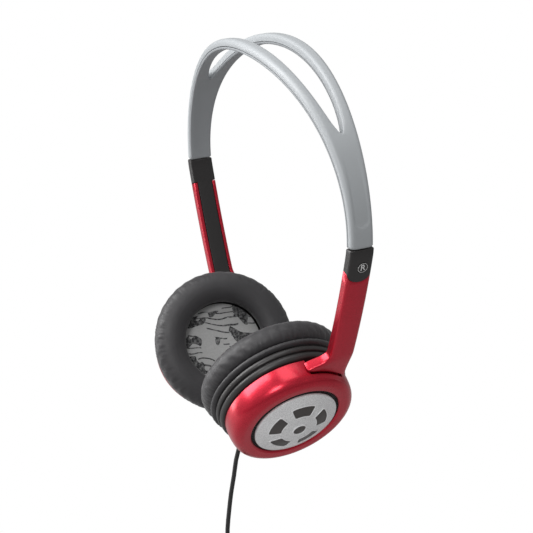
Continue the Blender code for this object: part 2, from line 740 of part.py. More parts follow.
def build_disc(side, pivot):
    prefix = side_name(side)
    frame = cup_frame(side)
    profile = dome_profile(DISC_RADIUS, 0.0, DISC_THICKNESS, 3)
    disc = add_object(prefix + "outer_disc", turned(profile, 36, False), "silver", side, frame,
                      pivot)
    windows = [sector(WINDOW_INNER, WINDOW_OUTER, 360 * k / WINDOW_COUNT - WINDOW_HALF_ANGLE,
                      360 * k / WINDOW_COUNT + WINDOW_HALF_ANGLE, -2.0, 6.0, 4)
               for k in range(WINDOW_COUNT)]
    windows.append(turned([(0, 0), (DOT_RADIUS, 0), (DOT_RADIUS, 6), (0, 6)], 20, False))
    apply_boolean(disc, add_cutter(prefix + "windows_cut", joined(*windows), side, frame, pivot))
    inlay = turned(dome_profile(17.0, -DISC_THICKNESS - GAP, 0.8, 3), 24, False)
    add_object(prefix + "disc_inlay", inlay, "dark_inlay", side, frame, pivot)
    seat = [(0, -1.3), (19.6, -1.3), (20.0, -1.9), (21.3, -1.9), (21.3, -2.6), (22.8, -2.6),
            (22.8, -4.2), (0, -4.2)]
    add_object(prefix + "disc_seat", turned(seat, 32, False), "black_plastic", side, frame, pivot)


def build_baffle(side, pivot):
    prefix = side_name(side)
    frame = cup_frame(side)
    profile = [(29.0, -12.7), (30.5, -13.1), (30.9, -14.2), (30.9, -15.6), (30.2, -15.9),
               (30.2, -16.5), (31.4, -16.9), (31.4, -19.0), (30.6, -19.4), (20.7, -19.4),
               (20.7, -17.6), (27.2, -17.6), (27.2, -12.7)]
    baffle = add_object(prefix + "baffle_ring", turned(profile, 32), "black_plastic", side, frame,
                        pivot)
    holes = joined(*[moved(turned([(0, -21), (1.2, -21), (1.2, -17), (0, -17)], 12, False),
                           post_frame(a)) for a in POST_ANGLES])
    apply_boolean(baffle, add_cutter(prefix + "baffle_holes_cut", holes, side, frame, pivot))
    for letter, angle in zip("ab", POST_ANGLES):
        screw = turned([(0, -12.5), (0.7, -12.8), (0.7, -19.7), (1.9, -19.7), (1.7, -20.3),
                        (0.6, -20.35), (0.5, -20.1), (0, -20.1)], 12, False)
        add_object(prefix + "baffle_screw_" + letter, screw, "steel", side,
                   frame @ post_frame(angle), pivot)
    board = box((-6.0, -20.5, -7.0), (6.0, -13.5, -6.0))
    add_object(prefix + "terminal_board", board, "board_green", side, frame, pivot)


def build_driver(side, pivot):
    """A 40 mm loudspeaker, its guard and the cloth over it."""
    pieces = {
        "driver_frame": ("black_plastic", 24, True,
                         [(20.3, -19.0), (20.3, -16.2), (17.4, -14.0), (10.6, -13.0),
                          (10.6, -13.9), (16.8, -15.0), (18.6, -17.0), (18.6, -19.0)]),
        "driver_magnet": ("steel", 24, False,
                          [(0, -8.8), (9.7, -8.8), (10.2, -9.3), (10.2, -14.0), (0, -14.0)]),
        "voice_coil": ("copper", 20, True, [(7.2, -14.4), (7.9, -14.4), (7.9, -17.0), (7.2, -17.0)]),
        "diaphragm": ("film", 20, False,
                      [(0, -19.2), (4.5, -18.8), (7.6, -17.7), (13.0, -18.8), (18.2, -17.9),
                       (18.2, -17.5), (13.0, -18.4), (7.6, -17.3), (4.5, -18.4), (0, -18.8)]),
        "driver_grille": ("black_plastic", 24, False,
                          [(0, -24.6), (18.8, -24.0), (20.2, -22.8), (21.6, -20.8), (21.6, -19.7),
                           (20.3, -19.7), (20.3, -20.2), (18.6, -22.8), (0, -23.4)]),
        "grille_cloth": ("speaker_cloth", 28, False,
                         [(0, -25.3), (17.0, -24.8), (19.2, -24.5), (19.2, -24.2), (17.0, -24.45),
                          (0, -24.95)]),
    }
    for name, (material_name, steps, closed, profile) in pieces.items():
        add_object(side_name(side) + name, turned(profile, steps, closed), material_name, side,
                   cup_frame(side), pivot)


def build_pad(side, pivot):
    prefix = side_name(side)
    skirt = [(27.4, -19.7), (31.6, -19.8), (32.7, -20.6), (32.5, -21.9), (31.4, -22.3),
             (27.4, -22.3)]
    add_object(prefix + "pad_skirt", turned(skirt, 36), "leatherette", side, cup_frame(side),
               pivot)
    pad = [(22.0, -22.6), (31.6, -22.6), (33.9, -24.3), (34.9, -27.4), (34.5, -30.4),
           (32.5, -33.4), (28.6, -35.3), (24.0, -35.3), (20.3, -33.8), (18.5, -31.0),
           (18.7, -27.8), (20.8, -25.0)]
    add_object(prefix + "ear_pad", turned(pad, 36), "leatherette", side, cup_frame(side),
               pivot)


def build_cup(side):
    pivot = add_pivot(side_name(side) + "cup_tilt", cup_frame(side) @ pin_place()[0], side)
    build_cup_ring(side, pivot)
    build_disc(side, pivot)
    build_baffle(side, pivot)
    build_driver(side, pivot)
    build_pad(side, pivot)
    return pivot


# ---------------------------------------------------------------- cord

def smooth_route(points, per_span):
    """Catmull-Rom curve through the route's points."""
    knots = [Vector(p) for p in points]
    knots = [2 * knots[0] - knots[1]] + knots + [2 * knots[-1] - knots[-2]]
    curve = []
    for a, b, c, d in zip(knots, knots[1:], knots[2:], knots[3:]):
        for k in range(per_span):
            t = k / per_span
            curve.append(0.5 * (2 * b + (c - a) * t + (2 * a - 5 * b + 4 * c - d) * t * t
                                + (3 * b - a - 3 * c + d) * t ** 3))
    return curve + [knots[-2]]


def build_cord_lead(pivot):
    data = bpy.data.curves.new("cord_lead", 'CURVE')
    data.dimensions = '3D'
    data.bevel_depth = CORD_RADIUS * MM
    data.bevel_resolution = 2
    data.use_fill_caps = True
    data.render_resolution_u = 0
    points = smooth_route(CORD_ROUTE, 2)
    spline = data.splines.new('POLY')
    spline.points.add(len(points) - 1)
    for target, point in zip(spline.points, points):
        target.co = (*(point * MM), 1.0)
    data.materials.append(material("cord_rubber"))
    lead = bpy.data.objects.new("cord_lead", data)
    bpy.context.scene.collection.objects.link(lead)
    lead.parent = pivot
    lead.matrix_parent_inverse = pivot.matrix_world.inverted()


def build_cord(pivot):
    """Strain relief, hanging lead, tied coil and 3.5 mm plug, all on the left cup."""
    start, end = RELIEF_START, RELIEF_END
    relief = [(0, start), (3.3, start), (3.3, start + 1.2), (2.7, start + 1.5)]
    ribs = 4
    for k in range(ribs):
        at = start + 2.2 + k * 2.25
        radius = 2.6 - 0.25 * k
        relief += [(radius, at), (radius - 0.05, at + 1.3), (radius - 0.4, at + 1.5),
                   (radius - 0.45, at + 2.1)]
    relief += [(1.5, end), (0, end)]
    down = Matrix.Rotation(math.radians(180 - RELIEF_ANGLE), 4, 'Z')
    down @= Matrix.Rotation(math.radians(90), 4, 'X')
    relief_frame = cup_frame(LEFT) @ Matrix.Translation((0, 0, RELIEF_DEPTH)) @ down
    add_object("strain_relief", turned(relief, 12, False), "black_plastic", LEFT, relief_frame,
               pivot)
    build_cord_lead(pivot)

    section = [(COIL_RADIUS + COIL_SECTION * math.cos(a), COIL_SECTION * math.sin(a))
               for a in (math.tau * (k + 0.5) / 10 for k in range(10))]
    lying = Matrix.Rotation(math.radians(90), 4, 'X')
    add_object("cord_coil", turned(section, 30), "cord_rubber", RIGHT,
               Matrix.Translation(COIL_CENTRE) @ lying, pivot)
    tie_inner = COIL_SECTION + 2 * GAP
    tie = turned([(tie_inner, -2.2), (TIE_SECTION, -2.2), (TIE_SECTION, 2.2), (tie_inner, 2.2)], 16)
    top = COIL_CENTRE + Vector((0, 0, COIL_RADIUS))
    add_object("cord_tie", tie, "black_plastic", RIGHT, axis_frame(top, (1, 0, 0)), pivot)

    hanging = axis_frame(PLUG_TOP, (0, 0, -1))
    plug_relief = turned([(0, 0), (1.6, 0), (2.4, 7.0), (2.4, 8.0), (0, 8.0)], 16, False)
    add_object("plug_relief", plug_relief, "black_plastic", RIGHT, hanging, pivot)
    body = turned([(0, 8.3), (3.3, 8.3), (3.9, 9.3), (3.9, 21.5), (3.3, 22.5), (0, 22.5)], 20, False)
    add_object("plug_body", body, "black_plastic", RIGHT, hanging, pivot)
    tip = turned([(0, 22.8), (2.6, 22.8), (2.6, 23.8), (1.75, 23.8), (1.75, 33.6), (1.1, 34.6),
                  (1.7, 35.6), (0.8, 37.4), (0, 37.6)], 16, False)
    add_object("plug_tip", tip, "gold", RIGHT, hanging, pivot)


def main():
    clear_scene()
    build_headband()
    for side in (RIGHT, LEFT):
        build_detent_clip(side)
        build_arm(side)
        pivot = build_cup(side)
    build_cord(pivot)


main()
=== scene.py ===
"""Looks of the wired headphones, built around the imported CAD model. Sizes are in millimetres
until a mesh is made. The left side is built in the right side's coordinates and mirrored; only
its cup hangs a little differently."""

import json
import math

import bmesh
import bpy
import numpy as np
from mathutils import Matrix, Vector


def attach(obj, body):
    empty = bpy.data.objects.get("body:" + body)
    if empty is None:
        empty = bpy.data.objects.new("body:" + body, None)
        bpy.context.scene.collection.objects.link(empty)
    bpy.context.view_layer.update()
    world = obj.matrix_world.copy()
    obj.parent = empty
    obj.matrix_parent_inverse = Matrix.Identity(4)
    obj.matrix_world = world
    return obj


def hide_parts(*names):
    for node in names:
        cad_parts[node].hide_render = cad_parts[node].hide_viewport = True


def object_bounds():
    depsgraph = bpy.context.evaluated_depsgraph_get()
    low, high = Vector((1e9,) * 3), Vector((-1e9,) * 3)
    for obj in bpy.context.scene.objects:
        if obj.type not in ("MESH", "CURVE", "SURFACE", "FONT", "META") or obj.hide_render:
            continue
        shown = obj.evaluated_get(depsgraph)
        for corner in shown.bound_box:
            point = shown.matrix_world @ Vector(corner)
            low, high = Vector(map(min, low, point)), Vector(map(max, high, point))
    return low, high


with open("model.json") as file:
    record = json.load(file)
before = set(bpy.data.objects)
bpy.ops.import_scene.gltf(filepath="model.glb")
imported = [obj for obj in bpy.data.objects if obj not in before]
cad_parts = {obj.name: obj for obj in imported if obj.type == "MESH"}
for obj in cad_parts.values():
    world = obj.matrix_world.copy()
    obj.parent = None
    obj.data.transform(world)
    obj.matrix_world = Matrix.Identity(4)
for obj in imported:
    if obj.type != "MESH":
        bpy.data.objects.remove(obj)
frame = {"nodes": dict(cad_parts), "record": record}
cad_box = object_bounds()

MM = 0.001
RIGHT, LEFT = 1, -1
SIDES = ((RIGHT, "right_"), (LEFT, "left_"))

# The same shapes as in the CAD source, but for the flare's power and where the spine starts
ARCH_RADIUS, ARCH_OVAL, ARCH_SHOULDER, ARCH_END = 78.5, 7.45, 0.33, 92.8
BAND_DEPTH, SHELL_DEPTH, LINER_TOP = 4.95, 3.45, 3.7
CROWN_HALF_WIDTH, END_HALF_WIDTH = 13.8, 5.6
SLOT_HALF_WIDTH, SLOT_END, SLOT_POWER = 7.5, 58.5, 0.62
ARM_LEAN, ARM_CURVE, ARM_BEND = 16.8, 0.133, 5.0
ARM_HALF_WIDTH, ARM_DEPTH, ARM_TOP_GAP = 5.8, 4.8, 1.0
COLLAR_END, TONGUE, ARM_STRAIGHT_END, SWEEP_LENGTH = 13.0, 4.0, 58.5, 11.3
CHANNEL_HALF_WIDTH, CHANNEL_FLOOR, COVER_START, COVER_END = 4.1, 1.6, 12.8, 62.0
FLARE_POWER, BADGE_PLACE = 1.9, 9.6
CUP_CENTRE = {RIGHT: Vector((50.1, -16.6, -160.8)), LEFT: Vector((50.1, -12.8, -160.4))}
CUP_TILT = 32.0
FOOT_TWIST, CUP_SWING = {RIGHT: 0.0, LEFT: 6.3}, {RIGHT: 0.0, LEFT: 6.0}
PIN_DISTANCE, PIN_DEPTH = 26.1, -7.6
FOOT_ANGLE, FOOT_HALF_ANGLE, TONGUE_HALF_ANGLE = 24.0, 22.0, 17.6
LIP_RADIUS, LIP_FRONT, LIP_BACK, SLIM_HALF_ANGLE = 30.7, -4.8, -10.3, 11.4
TONGUE_RADIUS, TONGUE_FRONT, TONGUE_BACK = 24.6, -5.6, -9.6
DISC_RADIUS, DISC_RISE, DOT_RADIUS = 20.0, 4.2, 3.3
WINDOWS, WINDOW_IN, WINDOW_OUT, WINDOW_HALF = 5, 8.6, 14.6, 25.0
RELIEF_ANGLE, RELIEF_DEPTH = 181.0, -15.0
RELIEF_START, RELIEF_END = 31.8, 43.3
CORD_DIAMETER, CORD_LENGTH = 2.2, 1200.0
COIL_CENTRE, COIL_RADIUS = Vector((-15.5, -24.0, -272.0)), 13.2
PLUG_TOP = Vector((-15.5, -33.2, -256.0))
CORD_ROUTE = (
    (-18.36, -13.87, -192.52), (-17.5, -13.9, -194.1), (-16.9, -14.15, -196.6),
    (-16.8, -15.1, -200.3), (-16.5, -17.0, -206.0), (-16.1, -18.7, -213.9),
    (-16.1, -20.6, -222.8), (-16.0, -22.2, -232.4), (-15.7, -23.5, -241.1),
    (-15.5, -24.0, -250.0),
)


# ---------------------------------------------------------------- materials

class Shader:
    """A Principled material with helpers for the nodes that feed it."""

    def __init__(self, name, colour, roughness, metallic=0.0, **sockets):
        self.material = bpy.data.materials.new(name)
        self.material.use_nodes = True
        self.tree = self.material.node_tree
        self.shader = self.tree.nodes["Principled BSDF"]
        self.set("Base Color", (*colour, 1.0))
        self.set("Roughness", roughness)
        self.set("Metallic", metallic)
        for socket, value in sockets.items():
            self.set(socket.replace("_", " "), value)
        self.height = None

    def set(self, socket, value):
        self.shader.inputs[socket].default_value = value

    def node(self, kind, inputs=(), **settings):
        made = self.tree.nodes.new(kind)
        for key, value in settings.items():
            setattr(made, key, value)
        for key, value in dict(inputs).items():
            if isinstance(value, bpy.types.NodeSocket):
                self.tree.links.new(value, made.inputs[key])
            else:
                made.inputs[key].default_value = value
        return made

    def coordinates(self):
        return self.node("ShaderNodeTexCoord").outputs["Object"]

    def noise(self, scale, detail):
        inputs = {"Vector": self.coordinates(), "Scale": scale, "Detail": detail}
        return self.node("ShaderNodeTexNoise", inputs).outputs["Fac"]

    def cells(self, scale, feature='F1', output="Distance"):
        inputs = {"Vector": self.coordinates(), "Scale": scale}
        return self.node("ShaderNodeTexVoronoi", inputs, feature=feature).outputs[output]

    def flakes(self, scale):
        """A random value for each cell, as metal flakes have."""
        colour = self.cells(scale, output="Color")
        return self.node("ShaderNodeSeparateColor", {0: colour}).outputs[0]

    def math(self, operation, a, b=0.0, clamp=False):
        return self.node("ShaderNodeMath", {0: a, 1: b}, operation=operation,
                         use_clamp=clamp).outputs[0]

    def spread(self, value, low, high, to_low, to_high):
        return self.node("ShaderNodeMapRange", {"Value": value, "From Min": low, "From Max": high,
                                                "To Min": to_low, "To Max": to_high}).outputs[0]

    def bump(self, height, distance_mm, strength=1.0):
        inputs = {"Height": height, "Distance": distance_mm * MM, "Strength": strength}
        if self.height is not None:
            inputs["Normal"] = self.height
        self.height = self.node("ShaderNodeBump", inputs).outputs["Normal"]
        self.tree.links.new(self.height, self.shader.inputs["Normal"])
        return self

    def feed(self, socket, value):
        self.tree.links.new(value, self.shader.inputs[socket])
        return self

    def mix(self, share, first, second):
        made = self.node("ShaderNodeMix", data_type='RGBA')
        for key, value in ((0, share), (6, first), (7, second)):
            if isinstance(value, bpy.types.NodeSocket):
                self.tree.links.new(value, made.inputs[key])
            else:
                made.inputs[key].default_value = value if key == 0 else (*value, 1.0)
        return made.outputs[2]


def new_object(name, data):
    obj = bpy.data.objects.new(name, data)
    bpy.context.scene.collection.objects.link(obj)
    return obj


def moulded(name, colour, roughness, grain=0.02, **sockets):
    """Moulded plastic with a fine, slightly uneven surface."""
    s = Shader(name, colour, roughness, **sockets)
    slow = s.noise(60.0, 2.0)
    s.feed("Roughness", s.spread(slow, 0.3, 0.7, roughness - 0.05, roughness + 0.06))
    s.feed("Base Color", s.mix(s.noise(35.0, 4.0), [c * 0.94 for c in colour],
                               [min(1.0, c * 1.05) for c in colour]))
    return s.bump(s.noise(1800.0, 2.0), grain).material


def red_lacquer():
    s = Shader("red_metallic_lacquer", (0.50, 0.008, 0.026), 0.3, 0.72,
               Coat_Weight=0.4, Coat_Roughness=0.16)
    tint = s.flakes(5200.0)
    s.feed("Base Color", s.mix(tint, (0.44, 0.005, 0.020), (0.64, 0.014, 0.042)))
    s.feed("Roughness", s.spread(s.noise(90.0, 3.0), 0.3, 0.7, 0.27, 0.36))
    return s.bump(s.noise(500.0, 2.0), 0.004).material


def silver_flake():
    s = Shader("silver_flake", (0.84, 0.84, 0.85), 0.36, 0.2,
               Coat_Weight=0.3, Coat_Roughness=0.2)
    tint = s.flakes(3600.0)
    s.feed("Base Color", s.mix(tint, (0.66, 0.66, 0.67), (0.97, 0.97, 0.98)))
    s.feed("Roughness", s.spread(tint, 0.0, 1.0, 0.28, 0.46))
    return s.material


def bare_metal(name, colour, rough):
    s = Shader(name, colour, rough, 1.0)
    s.feed("Roughness", s.spread(s.noise(300.0, 4.0), 0.3, 0.7, rough - 0.06, rough + 0.1))
    return s.bump(s.noise(2500.0, 2.0), 0.003).material


def leatherette():
    """Soft black leatherette: fine pebbled grain over slow, shallow unevenness."""
    s = Shader("soft_leatherette", (0.033, 0.032, 0.034), 0.5, 0.0,
               Sheen_Weight=0.12, Sheen_Roughness=0.4)
    grain = s.cells(1500.0, 'DISTANCE_TO_EDGE')
    s.feed("Roughness", s.spread(s.noise(120.0, 4.0), 0.3, 0.7, 0.42, 0.6))
    s.feed("Base Color", s.mix(s.noise(70.0, 5.0), (0.024, 0.023, 0.025), (0.045, 0.043, 0.046)))
    s.bump(s.math('MINIMUM', grain, 0.16), 0.09, 0.7)
    return s.bump(s.noise(260.0, 4.0), 0.12, 0.6).material


def printed_cloth():
    """Thin grey cloth with a loose abstract print of black strokes, rings and dots."""
    s = Shader("printed_cloth", (0.3, 0.3, 0.3), 0.85, 0.0, Sheen_Weight=0.2)
    place = s.coordinates()
    warp = s.node("ShaderNodeMapping", {"Vector": place, "Rotation": (0.6, 0.9, 0.4)}).outputs[0]
    strokes = s.node("ShaderNodeTexWave", {"Vector": warp, "Scale": 38.0, "Distortion": 9.0,
                                           "Detail": 1.5, "Detail Scale": 1.4}).outputs["Fac"]
    patches = s.noise(95.0, 1.0)
    bold = s.math('MULTIPLY', s.math('GREATER_THAN', strokes, 0.6),
                  s.math('GREATER_THAN', patches, 0.44))
    rings = s.node("ShaderNodeTexWave", {"Vector": place, "Scale": 120.0, "Distortion": 4.0,
                                         "Detail": 0.0}, wave_type='RINGS').outputs["Fac"]
    thin = s.math('MULTIPLY', s.math('GREATER_THAN', rings, 0.88),
                  s.math('LESS_THAN', patches, 0.46))
    dots = s.math('LESS_THAN', s.cells(210.0), 0.2)
    dots = s.math('MULTIPLY', dots, s.math('LESS_THAN', s.noise(60.0, 1.0), 0.46))
    ink = s.math('MAXIMUM', s.math('MAXIMUM', bold, thin), dots)
    worn = s.math('MULTIPLY', ink, s.spread(s.noise(900.0, 2.0), 0.3, 0.6, 0.55, 1.0), True)
    ground = s.mix(s.noise(1400.0, 3.0), (0.34, 0.34, 0.34), (0.50, 0.50, 0.495))
    s.feed("Base Color", s.mix(worn, ground, (0.022, 0.022, 0.024)))
    return s.bump(s.cells(2600.0), 0.08, 0.8).material


def make_materials():
    """Materials by CAD slot, and two more for trim that the CAD model doesn't have."""
    return {
        "band_shell": moulded("band_satin_grey", (0.39, 0.41, 0.425), 0.42, 0.002,
                              Coat_Weight=0.1, Coat_Roughness=0.35),
        "band_liner": moulded("band_liner_grey", (0.30, 0.315, 0.33), 0.45, 0.003),
        "black_plastic": moulded("black_moulded", (0.022, 0.020, 0.020), 0.38),
        "cord_rubber": moulded("cord_rubber", (0.016, 0.016, 0.016), 0.5),
        "dark_inlay": moulded("disc_inlay_grey", (0.062, 0.054, 0.052), 0.42),
        "circuit_board": moulded("circuit_board", (0.02, 0.14, 0.06), 0.4, 0.01),
        "film": moulded("diaphragm_film", (0.45, 0.45, 0.4), 0.3, 0.01),
        "red_metallic": red_lacquer(),
        "silver_disc": silver_flake(),
        "steel": bare_metal("steel_metal", (0.55, 0.55, 0.56), 0.3),
        "gold": bare_metal("gold_metal", (0.83, 0.6, 0.24), 0.22),
        "copper": bare_metal("copper_metal", (0.6, 0.3, 0.16), 0.35),
        "leatherette": leatherette(),
        "speaker_cloth": printed_cloth(),
        "bead": moulded("disc_bead", (0.93, 0.93, 0.94), 0.3, 0.005),
        "letter": moulded("badge_letter", (0.85, 0.85, 0.85), 0.45, 0.01),
    }


# ---------------------------------------------------------------- mesh helpers

def fillet(points, closed=True, steps=4):
    """Round each corner of a 2-D outline of (a, b, cut) points; cut is how far it reaches."""
    count = len(points)
    out = []
    for k, (a, b, cut) in enumerate(points):
        here = Vector((a, b))
        if cut == 0 or (not closed and k in (0, count - 1)):
            out.append(here)
            continue
        before = Vector(points[k - 1][:2])
        after = Vector(points[(k + 1) % count][:2])
        start = here + (before - here).normalized() * min(cut, (before - here).length * 0.49)
        end = here + (after - here).normalized() * min(cut, (after - here).length * 0.49)
        for i in range(steps + 1):
            t = i / steps
            out.append((1 - t) ** 2 * start + 2 * t * (1 - t) * here + t * t * end)
    return [(p.x, p.y) for p in out]


def bridge(bm, lower, upper):
    """Faces between two closed loops of vertices."""
    for k in range(len(lower)):
        after = (k + 1) % len(lower)
        bm.faces.new((lower[k], lower[after], upper[after], upper[k]))


def loft(sections, fan_ends=False):
    """Closed solid through sections with the same number of points."""
    bm = bmesh.new()
    loops = [[bm.verts.new(point) for point in section] for section in sections]
    count = len(loops[0])
    for lower, upper in zip(loops, loops[1:]):
        bridge(bm, lower, upper)
    for end in (loops[0], loops[-1]):
        if fan_ends:
            centre = bm.verts.new(sum((v.co for v in end), Vector()) / count)
            for k in range(count):
                bm.faces.new((centre, end[k], end[(k + 1) % count]))
        else:
            bm.faces.new(end)
    return bm


def turned(profile, steps=144, closed=True):
    """A (radius, depth) profile spun about the Z axis."""
    bm = bmesh.new()
    verts = [bm.verts.new((radius, 0.0, depth)) for radius, depth in profile]
    edges = [bm.edges.new(pair) for pair in zip(verts, verts[1:])]
    if closed:
        edges.append(bm.edges.new((verts[-1], verts[0])))
    bmesh.ops.spin(bm, geom=verts + edges, cent=(0, 0, 0), axis=(0, 0, 1), angle=math.tau,
                   steps=steps, use_merge=True)
    bmesh.ops.remove_doubles(bm, verts=bm.verts, dist=0.0005)
    return bm


def sector(inner, outer, start, end, back, front, steps=24):
    """Part of a ring between two angles, clockwise from the cup's top."""
    sections = []
    for k in range(steps + 1):
        angle = math.radians(start + (end - start) * k / steps)
        x, y = math.sin(angle), math.cos(angle)
        sections.append([(inner * x, inner * y, back), (outer * x, outer * y, back),
                         (outer * x, outer * y, front), (inner * x, inner * y, front)])
    return loft(sections)


def work_object(bm):
    """An object to try modifiers on, with a copy of the bmesh."""
    mesh = bpy.data.meshes.new("work")
    bm.to_mesh(mesh)
    return new_object("work", mesh)


def boolean(bm, cutter, operation='DIFFERENCE'):
    """Combine two bmeshes with the exact solver."""
    objects = []
    for part in (bm, cutter):
        bmesh.ops.recalc_face_normals(part, faces=part.faces)
        objects.append(work_object(part))
        part.free()
    modifier = objects[0].modifiers.new("cut", 'BOOLEAN')
    modifier.operation, modifier.object, modifier.solver = operation, objects[1], 'EXACT'
    evaluated = objects[0].evaluated_get(bpy.context.evaluated_depsgraph_get())
    made = bmesh.new()
    made.from_mesh(evaluated.to_mesh())
    for obj in objects:
        bpy.data.objects.remove(obj)
    return made


def tube(points, radius, sides):
    """Round tube along a closed path, with sections kept from twisting."""
    count = len(points)
    tangents = [(points[(k + 1) % count] - points[k - 1]).normalized() for k in range(count)]
    normal = tangents[0].orthogonal().normalized()
    bm = bmesh.new()
    loops = []
    for point, tangent in zip(points, tangents):
        normal = (normal - tangent * normal.dot(tangent)).normalized()
        other = tangent.cross(normal)
        loops.append([bm.verts.new(point + radius * (math.cos(a) * normal + math.sin(a) * other))
                      for a in (math.tau * i / sides for i in range(sides))])
    for lower, upper in zip(loops, loops[1:] + loops[:1]):
        bridge(bm, lower, upper)
    return bm


def axis_frame(origin, direction):
    rotation = Vector((0, 0, 1)).rotation_difference(Vector(direction)).to_matrix().to_4x4()
    return Matrix.Translation(origin) @ rotation


def pin_place():
    """Middle of the hinge pin, and its direction, in the cup's own frame."""
    turn = math.radians(FOOT_ANGLE)
    middle = Vector((PIN_DISTANCE * math.sin(turn), PIN_DISTANCE * math.cos(turn), PIN_DEPTH))
    return middle, Vector((math.cos(turn), -math.sin(turn), 0.0))


def turned_about(point, axis, degrees):
    rotation = Matrix.Rotation(math.radians(degrees), 4, axis)
    return Matrix.Translation(point) @ rotation @ Matrix.Translation(-point)


def foot_frame(side):
    """Cup frame as the arm's foot holds it: X is the wearer's front, Y the cup's top, Z outwards."""
    tilt = math.radians(CUP_TILT)
    outwards = Vector((math.cos(tilt), 0.0, -math.sin(tilt)))
    up = Vector((math.sin(tilt), 0.0, math.cos(tilt)))
    turn = Matrix((Vector((0, 1, 0)), up, outwards)).transposed().to_4x4()
    middle, along = pin_place()
    arm_axis = Vector((-along.y, along.x, 0.0))
    return Matrix.Translation(CUP_CENTRE[side]) @ turn @ turned_about(middle, arm_axis, FOOT_TWIST[side])


def cup_frame(side):
    """The same frame after the cup has swung on its pin."""
    middle, along = pin_place()
    return foot_frame(side) @ turned_about(middle, along, -CUP_SWING[side])


def add_piece(name, bm, slot, body, side=RIGHT, place=None, replaces=(), sharp=40.0, look=None):
    """A copy of a bmesh in millimetres, put in place, mirrored for the left, and made to ride.

    It has the material of its CAD slot, or the one named as its look.
    """
    mesh = bpy.data.meshes.new(name)
    bmesh.ops.recalc_face_normals(bm, faces=bm.faces)
    bm.to_mesh(mesh)
    mesh.transform(Matrix.Diagonal((side * MM, MM, MM, 1.0)) @ (place or Matrix.Identity(4)))
    if side == LEFT:
        mesh.flip_normals()
    mesh.materials.append(materials[look or slot])
    mesh.shade_smooth()
    mesh.set_sharp_from_angle(angle=math.radians(sharp))
    obj = new_object(name, mesh)
    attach(obj, body)
    if replaces:
        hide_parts(*replaces)
    return obj


def add_pair(name, bm, slot, body, place=None, replaces=(), sharp=40.0, look=None):
    """The same piece on both sides; body is "arm" or "cup", whose own frame places the piece."""
    made = []
    for side, prefix in SIDES:
        nodes = [prefix + node for node in replaces]
        where = cup_frame(side) if body == "cup" else place
        made.append(add_piece(prefix + name, bm, slot, prefix + body, side, where, nodes, sharp,
                              look))
    bm.free()
    return made


# ---------------------------------------------------------------- camera and light

def make_camera():
    """Camera at the photograph's viewing angle."""
    azimuth, elevation, roll = math.radians(64.2), math.radians(17.05), math.radians(-1.936)
    back = Vector((math.sin(azimuth) * math.cos(elevation),
                   -math.cos(azimuth) * math.cos(elevation), math.sin(elevation)))
    across = Vector((math.cos(azimuth), math.sin(azimuth), 0.0))
    up = back.cross(across)
    x_axis = across * math.cos(roll) + up * math.sin(roll)
    y_axis = up * math.cos(roll) - across * math.sin(roll)
    data = bpy.data.cameras.new("camera")
    data.sensor_width, data.lens = 36.0, 125.23
    data.shift_x, data.shift_y = -0.01276, -0.1203
    camera = new_object("camera", data)
    turn = Matrix((x_axis, y_axis, back)).transposed().to_4x4()
    target = Vector((0.0, 0.0, -0.07245))
    camera.matrix_world = Matrix.Translation(target + back * 0.862) @ turn
    bpy.context.scene.camera = camera
    return x_axis, y_axis, back


def add_light(name, place, target, width, height, watts):
    data = bpy.data.lights.new(name, 'AREA')
    data.shape, data.size, data.size_y, data.energy = 'RECTANGLE', width, height, watts
    light = new_object(name, data)
    light.location = place
    light.rotation_euler = (target - place).to_track_quat('-Z', 'Y').to_euler()


def seen_white(tree, lighting, target, white):
    """Plain white where the camera sees it, and a dimmer surface where it lights the object."""
    path = tree.nodes.new("ShaderNodeLightPath")
    plain = tree.nodes.new("ShaderNodeBackground" if white == "world" else "ShaderNodeEmission")
    plain.inputs["Color"].default_value = (1, 1, 1, 1)
    plain.inputs["Strength"].default_value = 1.0
    mix = tree.nodes.new("ShaderNodeMixShader")
    tree.links.new(path.outputs["Is Camera Ray"], mix.inputs[0])
    tree.links.new(lighting, mix.inputs[1])
    tree.links.new(plain.outputs[0], mix.inputs[2])
    tree.links.new(mix.outputs[0], target)


def make_studio(x_axis, y_axis, back):
    middle = Vector((0.0, 0.0, -0.09))
    for name, aside, above, towards, width, height, watts in (
            ("key", -0.75, 0.55, 0.15, 0.45, 0.8, 8.5),
            ("edge", -0.8, 0.1, -0.25, 0.2, 0.9, 3.5),
            ("front", -0.25, 0.35, 0.9, 0.3, 0.3, 2.6)):
        place = middle + x_axis * aside + y_axis * above + back * towards
        add_light(name, place, middle, width, height, watts)
    add_light("top", middle + Vector((0.1, 0.0, 0.8)), middle, 0.5, 0.5, 2.0)
    world = bpy.data.worlds.new("studio")
    world.use_nodes = True
    tree = world.node_tree
    sky = tree.nodes["Background"]
    sky.inputs["Color"].default_value = (1, 1, 1, 1)
    sky.inputs["Strength"].default_value = 0.36
    seen_white(tree, sky.outputs[0], tree.nodes["World Output"].inputs["Surface"], "world")
    bpy.context.scene.world = world
    bm = bmesh.new()
    bmesh.ops.create_grid(bm, x_segments=1, y_segments=1, size=40.0)
    mesh = bpy.data.meshes.new("floor")
    bm.to_mesh(mesh)
    bm.free()
    floor = new_object("floor", mesh)
    floor.location.z = cad_box[0].z - 0.002
    s = Shader("floor_white", (0.4, 0.4, 0.4), 0.9)
    output = s.tree.nodes["Material Output"].inputs["Surface"]
    seen_white(s.tree, s.shader.outputs[0], output, "floor")
    mesh.materials.append(s.material)
    bpy.context.scene.view_settings.view_transform = 'Standard'


# ---------------------------------------------------------------- cord

